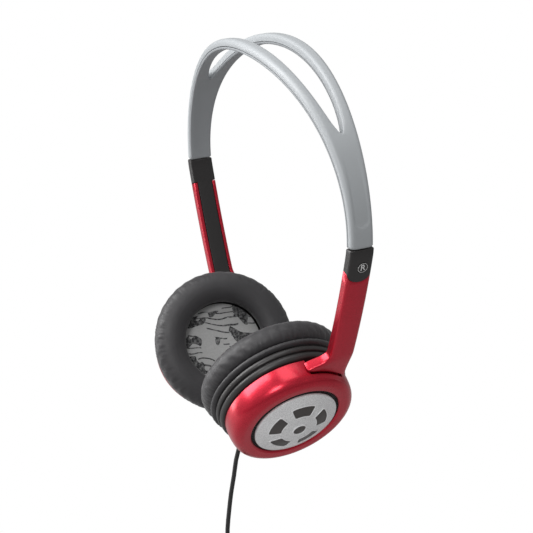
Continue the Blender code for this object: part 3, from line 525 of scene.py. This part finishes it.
def smooth_route(points, spacing):
    """Catmull-Rom curve through the points, read at about an even spacing."""
    knots = [Vector(p) for p in points]
    knots = [2 * knots[0] - knots[1]] + knots + [2 * knots[-1] - knots[-2]]
    curve = []
    for a, b, c, d in zip(knots, knots[1:], knots[2:], knots[3:]):
        steps = max(1, round((c - b).length / spacing))
        for k in range(steps):
            t = k / steps
            curve.append(0.5 * (2 * b + (c - a) * t + (2 * a - 5 * b + 4 * c - d) * t * t
                                + (3 * b - a - 3 * c + d) * t ** 3))
    return curve + [knots[-2]]


def path_length(points):
    return sum((b - a).length for a, b in zip(points, points[1:]))


def coil_lanes():
    """(radial, sideways) place of each turn in the coil's section, wound from the inside out."""
    d = CORD_DIAMETER
    lanes = []
    for row, across in ((-1.75, 2), (-0.875, 3), (0.0, 4), (0.875, 3), (1.75, 2)):
        places = [(k - (across - 1) / 2) * d for k in range(across)]
        if len(lanes) and lanes[-1][1] > 0:
            places.reverse()
        lanes += [(row * d, y) for y in places]
    return lanes


def coil_point(turns, lanes):
    """Point of the winding after a number of turns, each easing over into the next lane."""
    index = min(int(turns), len(lanes) - 1)
    share = turns - index
    after = lanes[min(index + 1, len(lanes) - 1)]
    ease = max(0.0, (share - 0.72) / 0.28)
    ease = ease * ease * (3 - 2 * ease)
    radial = lanes[index][0] + (after[0] - lanes[index][0]) * ease
    sideways = lanes[index][1] + (after[1] - lanes[index][1]) * ease
    angle = math.radians(60.0) + math.tau * turns
    radius = COIL_RADIUS + radial
    return COIL_CENTRE + Vector((radius * math.sin(angle), sideways, radius * math.cos(angle)))


def cord_points():
    """The whole cord: hanging lead, into the tie, round the coil and out to the plug."""
    lead = smooth_route(CORD_ROUTE, 5.0)
    lanes = coil_lanes()[::-1]
    middle = (PLUG_TOP + Vector((-5.9, -30.4, -254.9))) / 2
    middle.z = -254.9
    reach = Vector((PLUG_TOP.x, PLUG_TOP.y, -254.9)) - middle
    bow = [middle - reach * math.cos(t) + Vector((0, 0, reach.length * math.sin(t)))
           for t in (math.radians(22.5 * k) for k in range(9))]
    out = [Vector((-10.4, -24.2, -263.7)), Vector((-6.4, -25.8, -264.9)), Vector((-4.0, -29.0, -263.2)),
           Vector((-4.6, -30.6, -259.0))]
    best = None
    for step in range(1000, 1400):
        turns = step / 100
        coil = [coil_point(k / 22, lanes) for k in range(int(turns * 22) + 1)]
        into = smooth_route([lead[-2], lead[-1], (lead[-1] + coil[0]) / 2 + Vector((-1.0, 0, 1.5)),
                             coil[0], coil[1]], 2.0)
        tail = smooth_route([coil[-1]] + out + bow + [PLUG_TOP + Vector((0, 0, 0.1))], 2.0)
        points = lead[:-2] + into[:-2] + coil + tail[1:]
        length = path_length(points)
        if best is None or abs(length - CORD_LENGTH) < best[0]:
            best = (abs(length - CORD_LENGTH), points)
    return eased(best[1])


def bend_radius(a, b, c):
    """Radius of the circle through three points of the path."""
    turn = (b - a).angle(c - b)
    return (c - a).length / 2 / max(1e-6, math.sin(turn))


def eased(points):
    """The path without doubled points, its corners rounded and its two ends kept."""
    path = [points[0]]
    for point in points[1:]:
        if (point - path[-1]).length > 1.2:
            path.append(point)
    for _ in range(80):
        tight = {k for k in range(1, len(path) - 1) if bend_radius(*path[k - 1:k + 2]) < 5.0}
        path = [(path[k - 1] + 2 * path[k] + path[k + 1]) / 4 if k in tight else path[k]
                for k in range(len(path))]
    return path


def build_cord():
    points = cord_points()
    data = bpy.data.curves.new("cord", 'CURVE')
    data.dimensions = '3D'
    data.bevel_depth = CORD_DIAMETER / 2 * MM
    data.bevel_resolution = 4
    data.use_fill_caps = True
    spline = data.splines.new('POLY')
    spline.points.add(len(points) - 1)
    for target, point in zip(spline.points, points):
        target.co = (*(point * MM), 1.0)
        target.radius = 1.0
    data.materials.append(materials["cord_rubber"])
    cord = new_object("cord", data)
    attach(cord, "left_cup")
    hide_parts("cord_lead", "cord_coil")


# ---------------------------------------------------------------- headband

def arch_radius(phi):
    return ARCH_RADIUS - ARCH_OVAL * math.cos(2 * phi) + ARCH_SHOULDER * math.cos(4 * phi)


def arch_point(phi, depth):
    radius = arch_radius(phi)
    change = 2 * ARCH_OVAL * math.sin(2 * phi) - 4 * ARCH_SHOULDER * math.sin(4 * phi)
    along = Vector((change * math.sin(phi) + radius * math.cos(phi),
                    change * math.cos(phi) - radius * math.sin(phi))).normalized()
    outwards = Vector((-along.y, along.x))
    place = Vector((radius * math.sin(phi), radius * math.cos(phi) - arch_radius(0) + BAND_DEPTH))
    return place - depth * outwards


def half_width(phi):
    spread = math.cos(min(abs(phi), math.pi / 2)) ** 2
    return END_HALF_WIDTH + (CROWN_HALF_WIDTH - END_HALF_WIDTH) * spread


def slot_half_width(phi):
    inside = 1 - (math.degrees(phi) / SLOT_END) ** 2
    return SLOT_HALF_WIDTH * inside ** SLOT_POWER if inside > 1e-9 else 0.0


def corner_drop(distance, radius):
    """Depth of a rounded edge at a distance in from it."""
    if distance >= radius:
        return 0.0
    return radius - math.sqrt(max(0.0, radius ** 2 - (radius - distance) ** 2))


def panel_depth(phi, across):
    """Long shallow panel in the band end's outer face, deepest at its lower round end."""
    angle = abs(math.degrees(phi))
    arc = (angle - 84.0) * 1.45
    outside = math.hypot(max(0.0, arc), across) - 3.7
    depth = 0.34 * max(0.0, min(1.0, 0.5 - outside / 0.5))
    fade = max(0.0, min(1.0, (angle - 62.0) / 16.0))
    return depth * fade * fade * (3 - 2 * fade)


SHARES = [0.0, 0.03, 0.07, 0.12, 0.18, 0.25, 0.33, 0.41, 0.5, 0.58, 0.66, 0.74, 0.8, 0.86, 0.91,
          0.95, 0.98, 1.0]


def band_station_angles():
    """Degrees from the crown of the band's sections: closer together past the slot's tip."""
    half = [k * 1.5 for k in range(37)]
    half += [55.0 + k * 0.5 for k in range(9)] + [59.3, 59.6, 59.8, 59.93, 60.0, 60.2, 60.6, 61.2]
    half += [62.0 + k for k in range(14)] + [76.0 + k * 0.4 for k in range(41)]
    half += [92.4, 92.65, ARCH_END]
    half = sorted({round(a, 3) for a in half if a <= ARCH_END})
    return [-a for a in reversed(half[1:])] + half


def band_solid(top, bottom, end_round):
    """Two strands that join past the slot; top and bottom give (across, depth) at each share."""
    bm = bmesh.new()
    rows = []
    for angle in band_station_angles():
        phi = math.radians(angle)
        slot, edge = slot_half_width(phi), half_width(phi)
        tuck = max(0.0, abs(angle) - (ARCH_END - 0.4)) / 0.4 * end_round
        edge -= tuck
        row = {"open": slot > 0}
        for sign in (-1, 1):
            for face, profile, inset in (("top", top, tuck), ("bottom", bottom, -tuck)):
                verts = []
                for share in SHARES:
                    across = slot + (edge - slot) * share
                    flat = arch_point(phi, profile(phi, slot, edge, across) + inset)
                    verts.append(bm.verts.new((flat.x, sign * across, flat.y)))
                row[face, sign] = verts
        rows.append(row)
    for here, there in zip(rows, rows[1:]):
        for sign in (-1, 1):
            for face in ("top", "bottom"):
                near, far = here[face, sign], there[face, sign]
                for k in range(len(near) - 1):
                    bm.faces.new((near[k], near[k + 1], far[k + 1], far[k]))
            for k in (0, -1) if here["open"] or there["open"] else (-1,):
                bm.faces.new((here["top", sign][k], there["top", sign][k],
                              there["bottom", sign][k], here["bottom", sign][k]))
    for row in (rows[0], rows[-1]):
        for sign in (-1, 1):
            top_row, bottom_row = row["top", sign], row["bottom", sign]
            for k in range(len(top_row) - 1):
                bm.faces.new((top_row[k], top_row[k + 1], bottom_row[k + 1], bottom_row[k]))
    bmesh.ops.remove_doubles(bm, verts=bm.verts, dist=0.0005)
    return bm


def shell_top(phi, slot, edge, across):
    slot_round = min(1.4, slot * 0.6)
    drop = corner_drop(edge - across, 2.0) + corner_drop(across - slot, slot_round)
    crown = 0.16 * ((2 * (across - slot) / max(0.1, edge - slot) - 1) ** 2)
    return drop + (crown if slot > 0 else 0.12 * (across / edge) ** 2) + panel_depth(phi, across)


def shell_bottom(phi, slot, edge, across):
    return SHELL_DEPTH - corner_drop(edge - across, 0.25)


def liner_top(phi, slot, edge, across):
    return LINER_TOP + corner_drop(edge - across, 0.2)


def liner_bottom(phi, slot, edge, across):
    hollow = 0.3 * max(0.0, 1 - (across / (edge * 0.62)) ** 2) if slot == 0 else 0.0
    drop = corner_drop(edge - across, 0.75) + corner_drop(across - slot, min(0.7, slot * 0.5))
    return BAND_DEPTH - drop - hollow


def build_headband():
    for name, top, bottom, end_round in (("shell", shell_top, shell_bottom, 0.35),
                                         ("liner", liner_top, liner_bottom, 0.2)):
        add_piece("band_" + name, band_solid(top, bottom, end_round), "band_" + name, "headband",
                  replaces=["headband_" + name], sharp=50)


# ---------------------------------------------------------------- arms

def end_lean():
    end = math.radians(ARCH_END)
    along = arch_point(end, 0) - arch_point(end - math.radians(0.2), 0)
    return math.degrees(math.atan2(-along.x, -along.y))


END_LEAN = end_lean()


def arm_lean(distance):
    lean = ARM_LEAN + ARM_CURVE * distance
    return END_LEAN + (lean - END_LEAN) * min(1.0, max(0.0, distance) / ARM_BEND)


def arm_point(distance, depth, across=0.0):
    place = arch_point(math.radians(ARCH_END), 0)
    steps = max(1, round(abs(distance)))
    for k in range(steps):
        lean = math.radians(arm_lean(distance * (k + 0.5) / steps))
        place += Vector((-math.sin(lean), -math.cos(lean))) * (distance / steps)
    lean = math.radians(arm_lean(distance))
    place += depth * Vector((-math.cos(lean), math.sin(lean)))
    return Vector((place.x, across, place.y))


def arm_outline(channel=None):
    """(across, depth) loop of the arm: crowned outer face, and a channel in the inner one."""
    w, d, c = ARM_HALF_WIDTH, ARM_DEPTH, CHANNEL_HALF_WIDTH
    floor = d - 0.03 if channel is None else channel
    half = [(c, floor, 0.1), (c, d, 0.35), (w, d, 0.5), (w, 0.35, 1.1), (w * 0.62, -0.02, 1.0)]
    points = half + [(0.0, -0.16, 1.4)] + [(-a, b, r) for a, b, r in reversed(half)]
    return fillet(points, True, 5)


def tongue_drop(across, depth):
    """How much lower the collar's edge is on the outer face than on the sides."""
    share = max(0.0, min(1.0, (1.4 - depth) / 1.0))
    return TONGUE * max(0.0, 1 - (across / ARM_HALF_WIDTH) ** 2) ** 0.6 * share


def shrunk(outline, amount):
    """The arm's outline, smaller all round by an amount."""
    return [(across * (1 - amount / ARM_HALF_WIDTH), depth + amount * (1 - 2 * depth / ARM_DEPTH))
            for across, depth in outline]


def arm_section(distance, channel=None, drop=0.0, shrink=0.0):
    return [arm_point(distance + drop * tongue_drop(across, depth), depth, across)
            for across, depth in shrunk(arm_outline(channel), shrink)]


def foot_point(side, angle, radius, depth):
    turn = math.radians(angle)
    return foot_frame(side) @ Vector((radius * math.sin(turn), radius * math.cos(turn), depth))


def foot_section(side, radius, half_angle, front=LIP_FRONT, back=LIP_BACK):
    """The arm's outline wrapped round the cup at one radius."""
    points = []
    for across, depth in arm_outline():
        share = max(0.0, depth) / ARM_DEPTH
        points.append(foot_point(side, FOOT_ANGLE + half_angle * across / ARM_HALF_WIDTH, radius,
                                 front + (back - front) * share))
    return points


def arm_place(side, distance, depth, across=0.0):
    """Point of the arm at its own width, on the straight part or on the curve into the foot."""
    if distance <= ARM_STRAIGHT_END:
        return arm_point(distance, depth, across)
    share = max(0.0, depth) / ARM_DEPTH
    start = arm_point(ARM_STRAIGHT_END, depth, across)
    end = foot_point(side, FOOT_ANGLE + SLIM_HALF_ANGLE * across / ARM_HALF_WIDTH, LIP_RADIUS,
                     LIP_FRONT + (LIP_BACK - LIP_FRONT) * share)
    along = SWEEP_LENGTH * (arm_point(ARM_STRAIGHT_END + 0.5, 0) - arm_point(ARM_STRAIGHT_END - 0.5, 0))
    inwards = SWEEP_LENGTH * (foot_point(side, FOOT_ANGLE, LIP_RADIUS - 0.5, 0)
                              - foot_point(side, FOOT_ANGLE, LIP_RADIUS + 0.5, 0))
    t = (distance - ARM_STRAIGHT_END) / SWEEP_LENGTH
    return ((2 * t ** 3 - 3 * t ** 2 + 1) * start + (t ** 3 - 2 * t ** 2 + t) * along
            + (3 * t ** 2 - 2 * t ** 3) * end + (t ** 3 - t ** 2) * inwards)


def arm_sections(side):
    """The arm from under its collar to the tongue that goes into the cup's pocket."""
    sections = [arm_section(COLLAR_END + 0.25, CHANNEL_FLOOR, 1.0, 0.15),
                arm_section(COLLAR_END + 0.45, CHANNEL_FLOOR, 1.0)]
    distance = COLLAR_END + TONGUE + 1.5
    while distance < ARM_STRAIGHT_END:
        sections.append(arm_section(distance, CHANNEL_FLOOR))
        distance += 2.0
    sections.append(arm_section(ARM_STRAIGHT_END, CHANNEL_FLOOR))
    lip = foot_section(side, LIP_RADIUS, FOOT_HALF_ANGLE)
    slim_lip = foot_section(side, LIP_RADIUS, SLIM_HALF_ANGLE)
    channel_end = (COVER_END + 0.3 - ARM_STRAIGHT_END) / SWEEP_LENGTH
    places = [(share, CHANNEL_FLOOR) for share in (0.08, 0.16, 0.24, channel_end)]
    places += [(channel_end + 0.01, None)] + [(0.34 + 0.06 * k, None) for k in range(11)]
    for share, floor in places:
        distance = ARM_STRAIGHT_END + SWEEP_LENGTH * share
        slim = [arm_place(side, distance, depth, across) for across, depth in arm_outline(floor)]
        sections.append([point + (wide - narrow) * share ** FLARE_POWER
                         for point, wide, narrow in zip(slim, lip, slim_lip)])
    for lower, narrower in ((-0.05, 0.2), (0.1, 0.0), (0.25, 0.3)):
        sections.append(foot_section(side, LIP_RADIUS - lower, FOOT_HALF_ANGLE - narrower))
    for radius in (LIP_RADIUS - 0.3, TONGUE_RADIUS):
        sections.append(foot_section(side, radius, TONGUE_HALF_ANGLE, TONGUE_FRONT, TONGUE_BACK))
    return sections


def spine_sections(side):
    """The strip that closes the arm's channel, very slightly crowned."""
    half, top, floor = CHANNEL_HALF_WIDTH - 0.25, ARM_DEPTH + 0.05, 3.3
    loop = fillet([(half, floor, 0), (half, top, 0.4), (0.0, top + 0.18, 1.0),
                   (-half, top, 0.4), (-half, floor, 0)], True, 4)
    places = [COVER_START + (COVER_END - COVER_START) * k / 25 for k in range(26)]
    return [[arm_place(side, distance, depth, across) for across, depth in loop]
            for distance in places]


def build_arms():
    for side, prefix in SIDES:
        body = prefix + "arm"
        add_piece(body, loft(arm_sections(side), True), "red_metallic", body, side,
                  replaces=[prefix + "arm_shell"], sharp=48)


def build_collars():
    rows = [collar_top(0.35, 0.0), collar_top(0.05, 0.3), collar_top(0.0, 0.7)]
    rows += [arm_section(s) for s in (3.5, 5.0, 7.0, 9.0, 11.0, 12.3)]
    rows += [arm_section(COLLAR_END - 0.1, None, 1.0), arm_section(COLLAR_END, None, 1.0, 0.15)]
    collar = boolean(loft(rows, True), badge_cutter())
    add_pair("collar", collar, "black_plastic", "arm", replaces=["arm_collar"])


def build_spines():
    for side, prefix in SIDES:
        add_piece(prefix + "arm_spine", loft(spine_sections(side)), "black_plastic",
                  prefix + "arm", side, replaces=[prefix + "arm_cover"], sharp=35)


def collar_top(shrink, lower):
    """The collar's top edge, parallel to the band's end face."""
    lean = math.radians(END_LEAN)
    below = (ARM_TOP_GAP - 0.45 + lower) * Vector((-math.sin(lean), -math.cos(lean)))
    points = []
    for across, depth in shrunk(arm_outline(), shrink):
        flat = arch_point(math.radians(ARCH_END), depth) + below
        points.append(Vector((flat.x, across, flat.y)))
    return points


def badge_frame():
    lean = math.radians(arm_lean(BADGE_PLACE))
    return axis_frame(arm_point(BADGE_PLACE, 0.0, 0.8), (math.cos(lean), 0.0, -math.sin(lean)))


def badge_cutter():
    cutter = turned([(0, -0.45), (2.75, -0.45), (2.75, 1.0), (0, 1.0)], 48, False)
    bmesh.ops.transform(cutter, matrix=badge_frame(), verts=cutter.verts)
    return cutter


def build_badges():
    plate = turned(fillet([(0, -0.3, 0), (2.5, -0.3, 0), (2.5, 0.22, 0.15), (0, 0.25, 0)], False),
                   48, False)
    add_pair("badge_plate", plate, "black_plastic", "arm", badge_frame(), replaces=["side_badge"])
    hoop = turned([(2.2, 0.15), (2.36, 0.15), (2.36, 0.26), (2.2, 0.27)], 48)
    add_pair("badge_hoop", hoop, None, "arm", badge_frame(), look="letter")


def build_letters():
    """Plain R and L on the side badges, each upright in its own right."""
    lean = math.radians(arm_lean(BADGE_PLACE))
    for side, prefix in SIDES:
        data = bpy.data.curves.new(prefix + "letter", 'FONT')
        data.body = "R" if side == RIGHT else "L"
        data.align_x, data.align_y = 'CENTER', 'CENTER'
        data.size, data.extrude = 4.2, 0.04
        text = new_object("work", data)
        mesh = bpy.data.meshes.new_from_object(
            text.evaluated_get(bpy.context.evaluated_depsgraph_get()))
        bpy.data.objects.remove(text)
        origin = badge_frame().translation
        origin.x *= side
        out = Vector((side * math.cos(lean), 0.0, -math.sin(lean)))
        across = Vector((0, side, 0))
        turn = Matrix((across, out.cross(across), out)).transposed().to_4x4()
        mesh.transform(Matrix.Diagonal((MM, MM, MM, 1.0))
                       @ Matrix.Translation(origin + out * 0.27) @ turn)
        mesh.materials.clear()
        mesh.materials.append(materials["letter"])
        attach(new_object(prefix + "letter", mesh), prefix + "arm")


# ---------------------------------------------------------------- ear cups

def build_ring():
    profile = fillet([(21.5, -0.9, 0.2), (22.2, -0.15, 0.4), (26.4, -0.1, 1.6),
                      (29.15, -2.3, 2.6), (29.9, -7.5, 3.0), (29.65, -12.4, 0.35),
                      (27.6, -12.4, 0.3), (27.6, -3.8, 1.0), (25.6, -2.5, 0.5),
                      (21.5, -2.5, 0.2)], True, 6)
    boss = sector(23.2, 28.6, FOOT_ANGLE - 29, FOOT_ANGLE + 29, -12.2, -2.0)
    ring = boolean(turned(profile, 160), boss, 'UNION')
    pocket = sector(23.9, 33.0, FOOT_ANGLE - 19.5, FOOT_ANGLE + 19.5, -13.4, -4.3)
    ring = boolean(ring, pocket)
    add_pair("ring", ring, "red_metallic", "cup", replaces=["cup_ring"])


def disc_height(radius):
    return DISC_RISE * (1 - (radius / DISC_RADIUS) ** 2)


def window_outline(index, steps=18):
    """Outline of one window on the disc's dome, with rounded corners, in the cup's frame."""
    middle = 360 * index / WINDOWS
    half, r0, r1, cut = WINDOW_HALF, WINDOW_IN, WINDOW_OUT, 0.9
    flat = []
    for radius, first, last in ((r0, -half, half), (r1, half, -half)):
        trim = math.degrees(cut / radius)
        step = (last - first) / abs(last - first)
        for k in range(steps + 1):
            angle = first + step * trim + (last - first - 2 * step * trim) * k / steps
            flat.append((radius, middle + angle))
        other = r1 if radius == r0 else r0
        way = 1 if other > radius else -1
        flat.append((radius + way * 0.28 * cut, middle + last - step * 0.28 * trim))
        for k in range(7):
            flat.append((radius + way * cut + (other - radius - 2 * way * cut) * k / 6,
                         middle + last))
        flat.append((other - way * 0.28 * cut, middle + last - step * 0.28 * trim))
    return [Vector((r * math.sin(math.radians(a)), r * math.cos(math.radians(a)), disc_height(r)))
            for r, a in flat]


def build_disc():
    rings = [0.0] + [1.1 * k for k in range(1, 18)] + [19.2, 19.7, 19.93]
    profile = [(r, disc_height(r)) for r in rings]
    profile += [(DISC_RADIUS, -0.25), (DISC_RADIUS, -0.7), (19.8, -0.95), (0.0, 3.2)]
    disc = turned(profile, 144, False)
    for k in range(WINDOWS):
        outline = window_outline(k)
        disc = boolean(disc, loft([[p + Vector((0, 0, lift)) for p in outline]
                                   for lift in (-0.55, 3.0)]))
    dot = turned([(0, DISC_RISE - 0.5), (DOT_RADIUS, disc_height(DOT_RADIUS) - 0.5),
                  (DOT_RADIUS, 8.0), (0, 8.0)], 64, False)
    add_pair("disc", boolean(disc, dot), "silver_disc", "cup", replaces=["outer_disc"], sharp=30)


def build_windows():
    """Sunk dark field of each window, and the bright bead round it."""
    for k in range(WINDOWS):
        outline = window_outline(k)
        centre = sum(outline, Vector()) / len(outline)
        field = bmesh.new()
        rings = []
        for share, lift in ((1.0, -0.5), (0.985, -0.22), (0.9, -0.16), (0.6, -0.14), (0.3, -0.13)):
            places = [centre.lerp(p, share) for p in outline]
            rings.append([field.verts.new((q.x, q.y, disc_height(math.hypot(q.x, q.y)) + lift))
                          for q in places])
        for outer, inner in zip(rings, rings[1:]):
            bridge(field, outer, inner)
        field.faces.new(rings[-1])
        add_pair("window_%d" % k, field, "dark_inlay", "cup",
                 replaces=["disc_inlay"] if k == 0 else (), sharp=60)
        bead = tube([p + Vector((0, 0, 0.02)) for p in outline], 0.26, 8)
        add_pair("window_bead_%d" % k, bead, "silver_disc", "cup", look="bead", sharp=60)


def build_dot():
    button = turned(fillet([(0, DISC_RISE + 0.12, 0), (2.6, DISC_RISE - 0.02, 0.4),
                            (DOT_RADIUS - 0.05, DISC_RISE - 0.5, 0)], False), 64, False)
    add_pair("dot", button, "dark_inlay", "cup", sharp=60)
    height = disc_height(DOT_RADIUS) + 0.05
    circle = [Vector((DOT_RADIUS * math.sin(a), DOT_RADIUS * math.cos(a), height))
              for a in (math.tau * k / 64 for k in range(64))]
    add_pair("dot_bead", tube(circle, 0.36, 10), "silver_disc", "cup", look="bead", sharp=60)


def build_seat():
    seat = turned(fillet([(0, -1.3, 0), (19.5, -1.3, 0.2), (19.9, -2.0, 0.2), (21.4, -2.0, 0.1),
                          (21.4, -2.7, 0.1), (22.9, -2.7, 0.1), (22.9, -4.2, 0.2), (0, -4.2, 0)],
                         False), 144, False)
    add_pair("seat", seat, "black_plastic", "cup", replaces=["disc_seat"], sharp=30)
    ribs = bmesh.new()
    for k in range(90):
        made = bmesh.ops.create_cube(ribs, size=1.0)
        turn = Matrix.Rotation(math.tau * k / 90, 4, 'Z') @ Matrix.Translation((20.9, 0, -1.55))
        bmesh.ops.transform(ribs, matrix=turn @ Matrix.Diagonal((1.0, 0.5, 0.8, 1.0)),
                            verts=made["verts"])
    add_pair("seat_ribs", ribs, "black_plastic", "cup")


def build_baffle():
    profile = fillet([(29.0, -12.7, 0.2), (30.5, -13.0, 0.5), (31.0, -14.2, 0.6),
                      (31.0, -15.5, 0.5), (30.1, -15.8, 0.15), (30.1, -16.4, 0.15),
                      (31.2, -16.6, 0.4), (31.55, -17.6, 0.6), (31.4, -19.0, 0.5),
                      (30.6, -19.4, 0.3), (20.7, -19.4, 0.2), (20.7, -17.6, 0.2),
                      (27.2, -17.6, 0.3), (27.2, -12.7, 0.2)], True, 5)
    add_pair("baffle", turned(profile, 160), "black_plastic", "cup",
             replaces=["baffle_ring"], sharp=35)


def build_strain_relief():
    start, end = RELIEF_START, RELIEF_END
    profile = [(0, start, 0), (3.3, start, 0.3), (3.3, start + 1.1, 0.4), (2.6, start + 1.5, 0.3)]
    for k in range(6):
        at = start + 2.1 + k * 1.5
        radius = 2.6 - 0.17 * k
        profile += [(radius, at, 0.25), (radius - 0.05, at + 0.85, 0.25),
                    (radius - 0.4, at + 0.95, 0.1), (radius - 0.42, at + 1.4, 0.1)]
    profile += [(1.5, end - 0.2, 0.2), (1.3, end, 0.1), (0, end, 0)]
    down = Matrix.Rotation(math.radians(180 - RELIEF_ANGLE), 4, 'Z')
    down @= Matrix.Rotation(math.radians(90), 4, 'X')
    place = cup_frame(LEFT) @ Matrix.Translation((0, 0, RELIEF_DEPTH)) @ down
    piece = turned(fillet(profile, False, 3), 40, False)
    add_piece("cord_relief", piece, "cord_rubber", "left_cup", LEFT, place, ["strain_relief"])


# ---------------------------------------------------------------- ear pads

def pad_profile():
    """Section of the pad before it swells, from the back's inner edge round the outside."""
    return fillet([(21.6, -22.8, 0.6), (31.4, -22.8, 1.2), (33.9, -24.8, 2.4), (34.5, -29.6, 2.6),
                   (32.6, -33.0, 1.8), (28.2, -34.7, 3.0), (23.0, -34.5, 2.5),
                   (19.3, -31.6, 3.0), (19.4, -26.6, 2.4)], True, 4)


def swell(bm, frames=16):
    """Cloth with pressure, held along the pad's back; the result is read back into the bmesh.

    It is simulated ten times as large as life, in units of 100 mm, where the solver is steady.
    """
    scale, held_above, furthest = 0.01, -0.236, 0.022
    pad = work_object(bm)
    pad.data.transform(Matrix.Diagonal((scale, scale, scale, 1.0)))
    start = [v.co.copy() for v in pad.data.vertices]
    held = pad.vertex_groups.new(name="held")
    held.add([k for k, place in enumerate(start) if place.z > held_above], 1.0, 'REPLACE')
    cloth = pad.modifiers.new("cloth", 'CLOTH')
    settings = cloth.settings
    settings.quality = 5
    settings.mass = 0.3
    settings.tension_stiffness = settings.compression_stiffness = 12
    settings.bending_stiffness = 0.3
    settings.use_pressure = True
    settings.uniform_pressure_force = 4.0
    settings.vertex_group_mass = "held"
    settings.effector_weights.gravity = 0.0
    cloth.collision_settings.use_collision = False
    cloth.point_cache.frame_start, cloth.point_cache.frame_end = 1, frames
    scene = bpy.context.scene
    for number in range(1, frames + 1):
        scene.frame_set(number)
    swollen = pad.evaluated_get(bpy.context.evaluated_depsgraph_get()).to_mesh()
    for vert, first, after in zip(bm.verts, start, swollen.vertices):
        move = after.co - first
        if move.length > furthest:
            move *= furthest / move.length
        vert.co = (first + move) / scale
    scene.frame_set(1)
    bpy.data.objects.remove(pad)


def subdivided(bm):
    obj = work_object(bm)
    bm.free()
    obj.modifiers.new("smooth", 'SUBSURF').levels = 1
    made = bmesh.new()
    made.from_mesh(obj.evaluated_get(bpy.context.evaluated_depsgraph_get()).to_mesh())
    bpy.data.objects.remove(obj)
    return made


def gather(bm, seed=4):
    """Sewn gathers on the pad's side wall: short radial creases of uneven length and depth."""
    random = np.random.default_rng(seed)
    co = np.array([v.co for v in bm.verts])
    radius = np.hypot(co[:, 0], co[:, 1])
    angle = np.degrees(np.arctan2(co[:, 0], co[:, 1]))
    depth = co[:, 2]
    side = np.clip((radius - 29.0) / 3.0, 0, 1)
    push = np.zeros(len(co))
    for edge, way, count, reach in ((-36.6, 1.0, 118, (3.5, 10.5)), (-23.6, -1.0, 96, (2.0, 7.0))):
        places = np.linspace(-180, 180, count, endpoint=False) + random.normal(0, 0.9, count)
        for place in places:
            width = random.uniform(0.45, 0.95)
            length = random.uniform(*reach)
            size = random.uniform(0.10, 0.42)
            slant = random.normal(0, 0.22)
            away = (depth - edge) * way
            off = (angle - place - slant * away + 180) % 360 - 180
            along = np.clip(1 - away / length, 0, 1) * np.clip((away + 2.2) / 2.2, 0, 1)
            push -= size * np.exp(-(off / width) ** 2) * along ** 0.7
    push += 0.10 * np.sin(np.radians(angle) * 37 + 2.0 * np.sin(depth * 0.6)) * side
    push = np.maximum(push, -0.6) * side
    fade = np.clip((-22.9 - depth) / 0.8, 0, 1)
    push *= fade
    unit = co[:, :2] / radius[:, None]
    co[:, :2] += unit * push[:, None]
    for vert, place in zip(bm.verts, co):
        vert.co = place


def build_cushions():
    pad = turned(pad_profile(), 216)
    bmesh.ops.recalc_face_normals(pad, faces=pad.faces)
    swell(pad)
    pad = subdivided(pad)
    gather(pad)
    for piece in add_pair("cushion", pad, "leatherette", "cup", replaces=["ear_pad"], sharp=75):
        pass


def build_skirts():
    """Rolled skirt behind the pad, its outer edge slightly wavy."""
    skirt = turned(fillet([(27.4, -19.75, 0.2), (31.4, -19.75, 0.6), (32.9, -20.3, 0.9),
                           (33.0, -21.9, 0.9), (31.4, -22.5, 0.6), (27.4, -22.4, 0.2)], True, 6),
                   216)
    random = np.random.default_rng(9)
    waves = [(random.integers(20, 90), random.uniform(0, 6.28), random.uniform(0.01, 0.035))
             for _ in range(9)]
    for v in skirt.verts:
        radius = math.hypot(v.co.x, v.co.y)
        angle = math.atan2(v.co.x, v.co.y)
        if radius > 31.5:
            lift = sum(size * math.sin(count * angle + start) for count, start, size in waves)
            v.co.x *= 1 + lift / radius
            v.co.y *= 1 + lift / radius
    add_pair("skirt_roll", skirt, "leatherette", "cup", replaces=["pad_skirt"], sharp=75)


def build_cloths():
    """Printed cloth, one layer, slightly dished over the driver's grille."""
    low, reach, steps = -25.15, 19.2, 96
    cloth = bmesh.new()
    rows = []
    for radius in (2, 4, 6, 8, 10, 12, 14, 16, 17.5, 18.6, reach):
        depth = low + 0.5 * (radius / reach) ** 2
        rows.append([cloth.verts.new((radius * math.sin(a), radius * math.cos(a), depth))
                     for a in (math.tau * k / steps for k in range(steps))])
    centre = cloth.verts.new((0, 0, low))
    for k in range(steps):
        cloth.faces.new((centre, rows[0][k], rows[0][(k + 1) % steps]))
    for inner, outer in zip(rows, rows[1:]):
        bridge(cloth, inner, outer)
    pieces = add_pair("speaker_cloth", cloth, "speaker_cloth", "cup", replaces=["grille_cloth"])


def dress_frame():
    """Better materials for the CAD nodes that stay."""
    for row in frame["record"]["subparts"]:
        node = frame["nodes"][row["node"]]
        if not node.material_slots:
            node.data.materials.append(None)
        for place in node.material_slots:
            place.material = materials[row["material_slot"]]


materials = make_materials()
make_studio(*make_camera())
build_cord()
dress_frame()
for build in (build_headband, build_arms, build_collars, build_spines, build_badges, build_letters,
              build_ring, build_disc, build_windows, build_dot, build_seat, build_baffle,
              build_strain_relief, build_cushions, build_skirts, build_cloths):
    build()
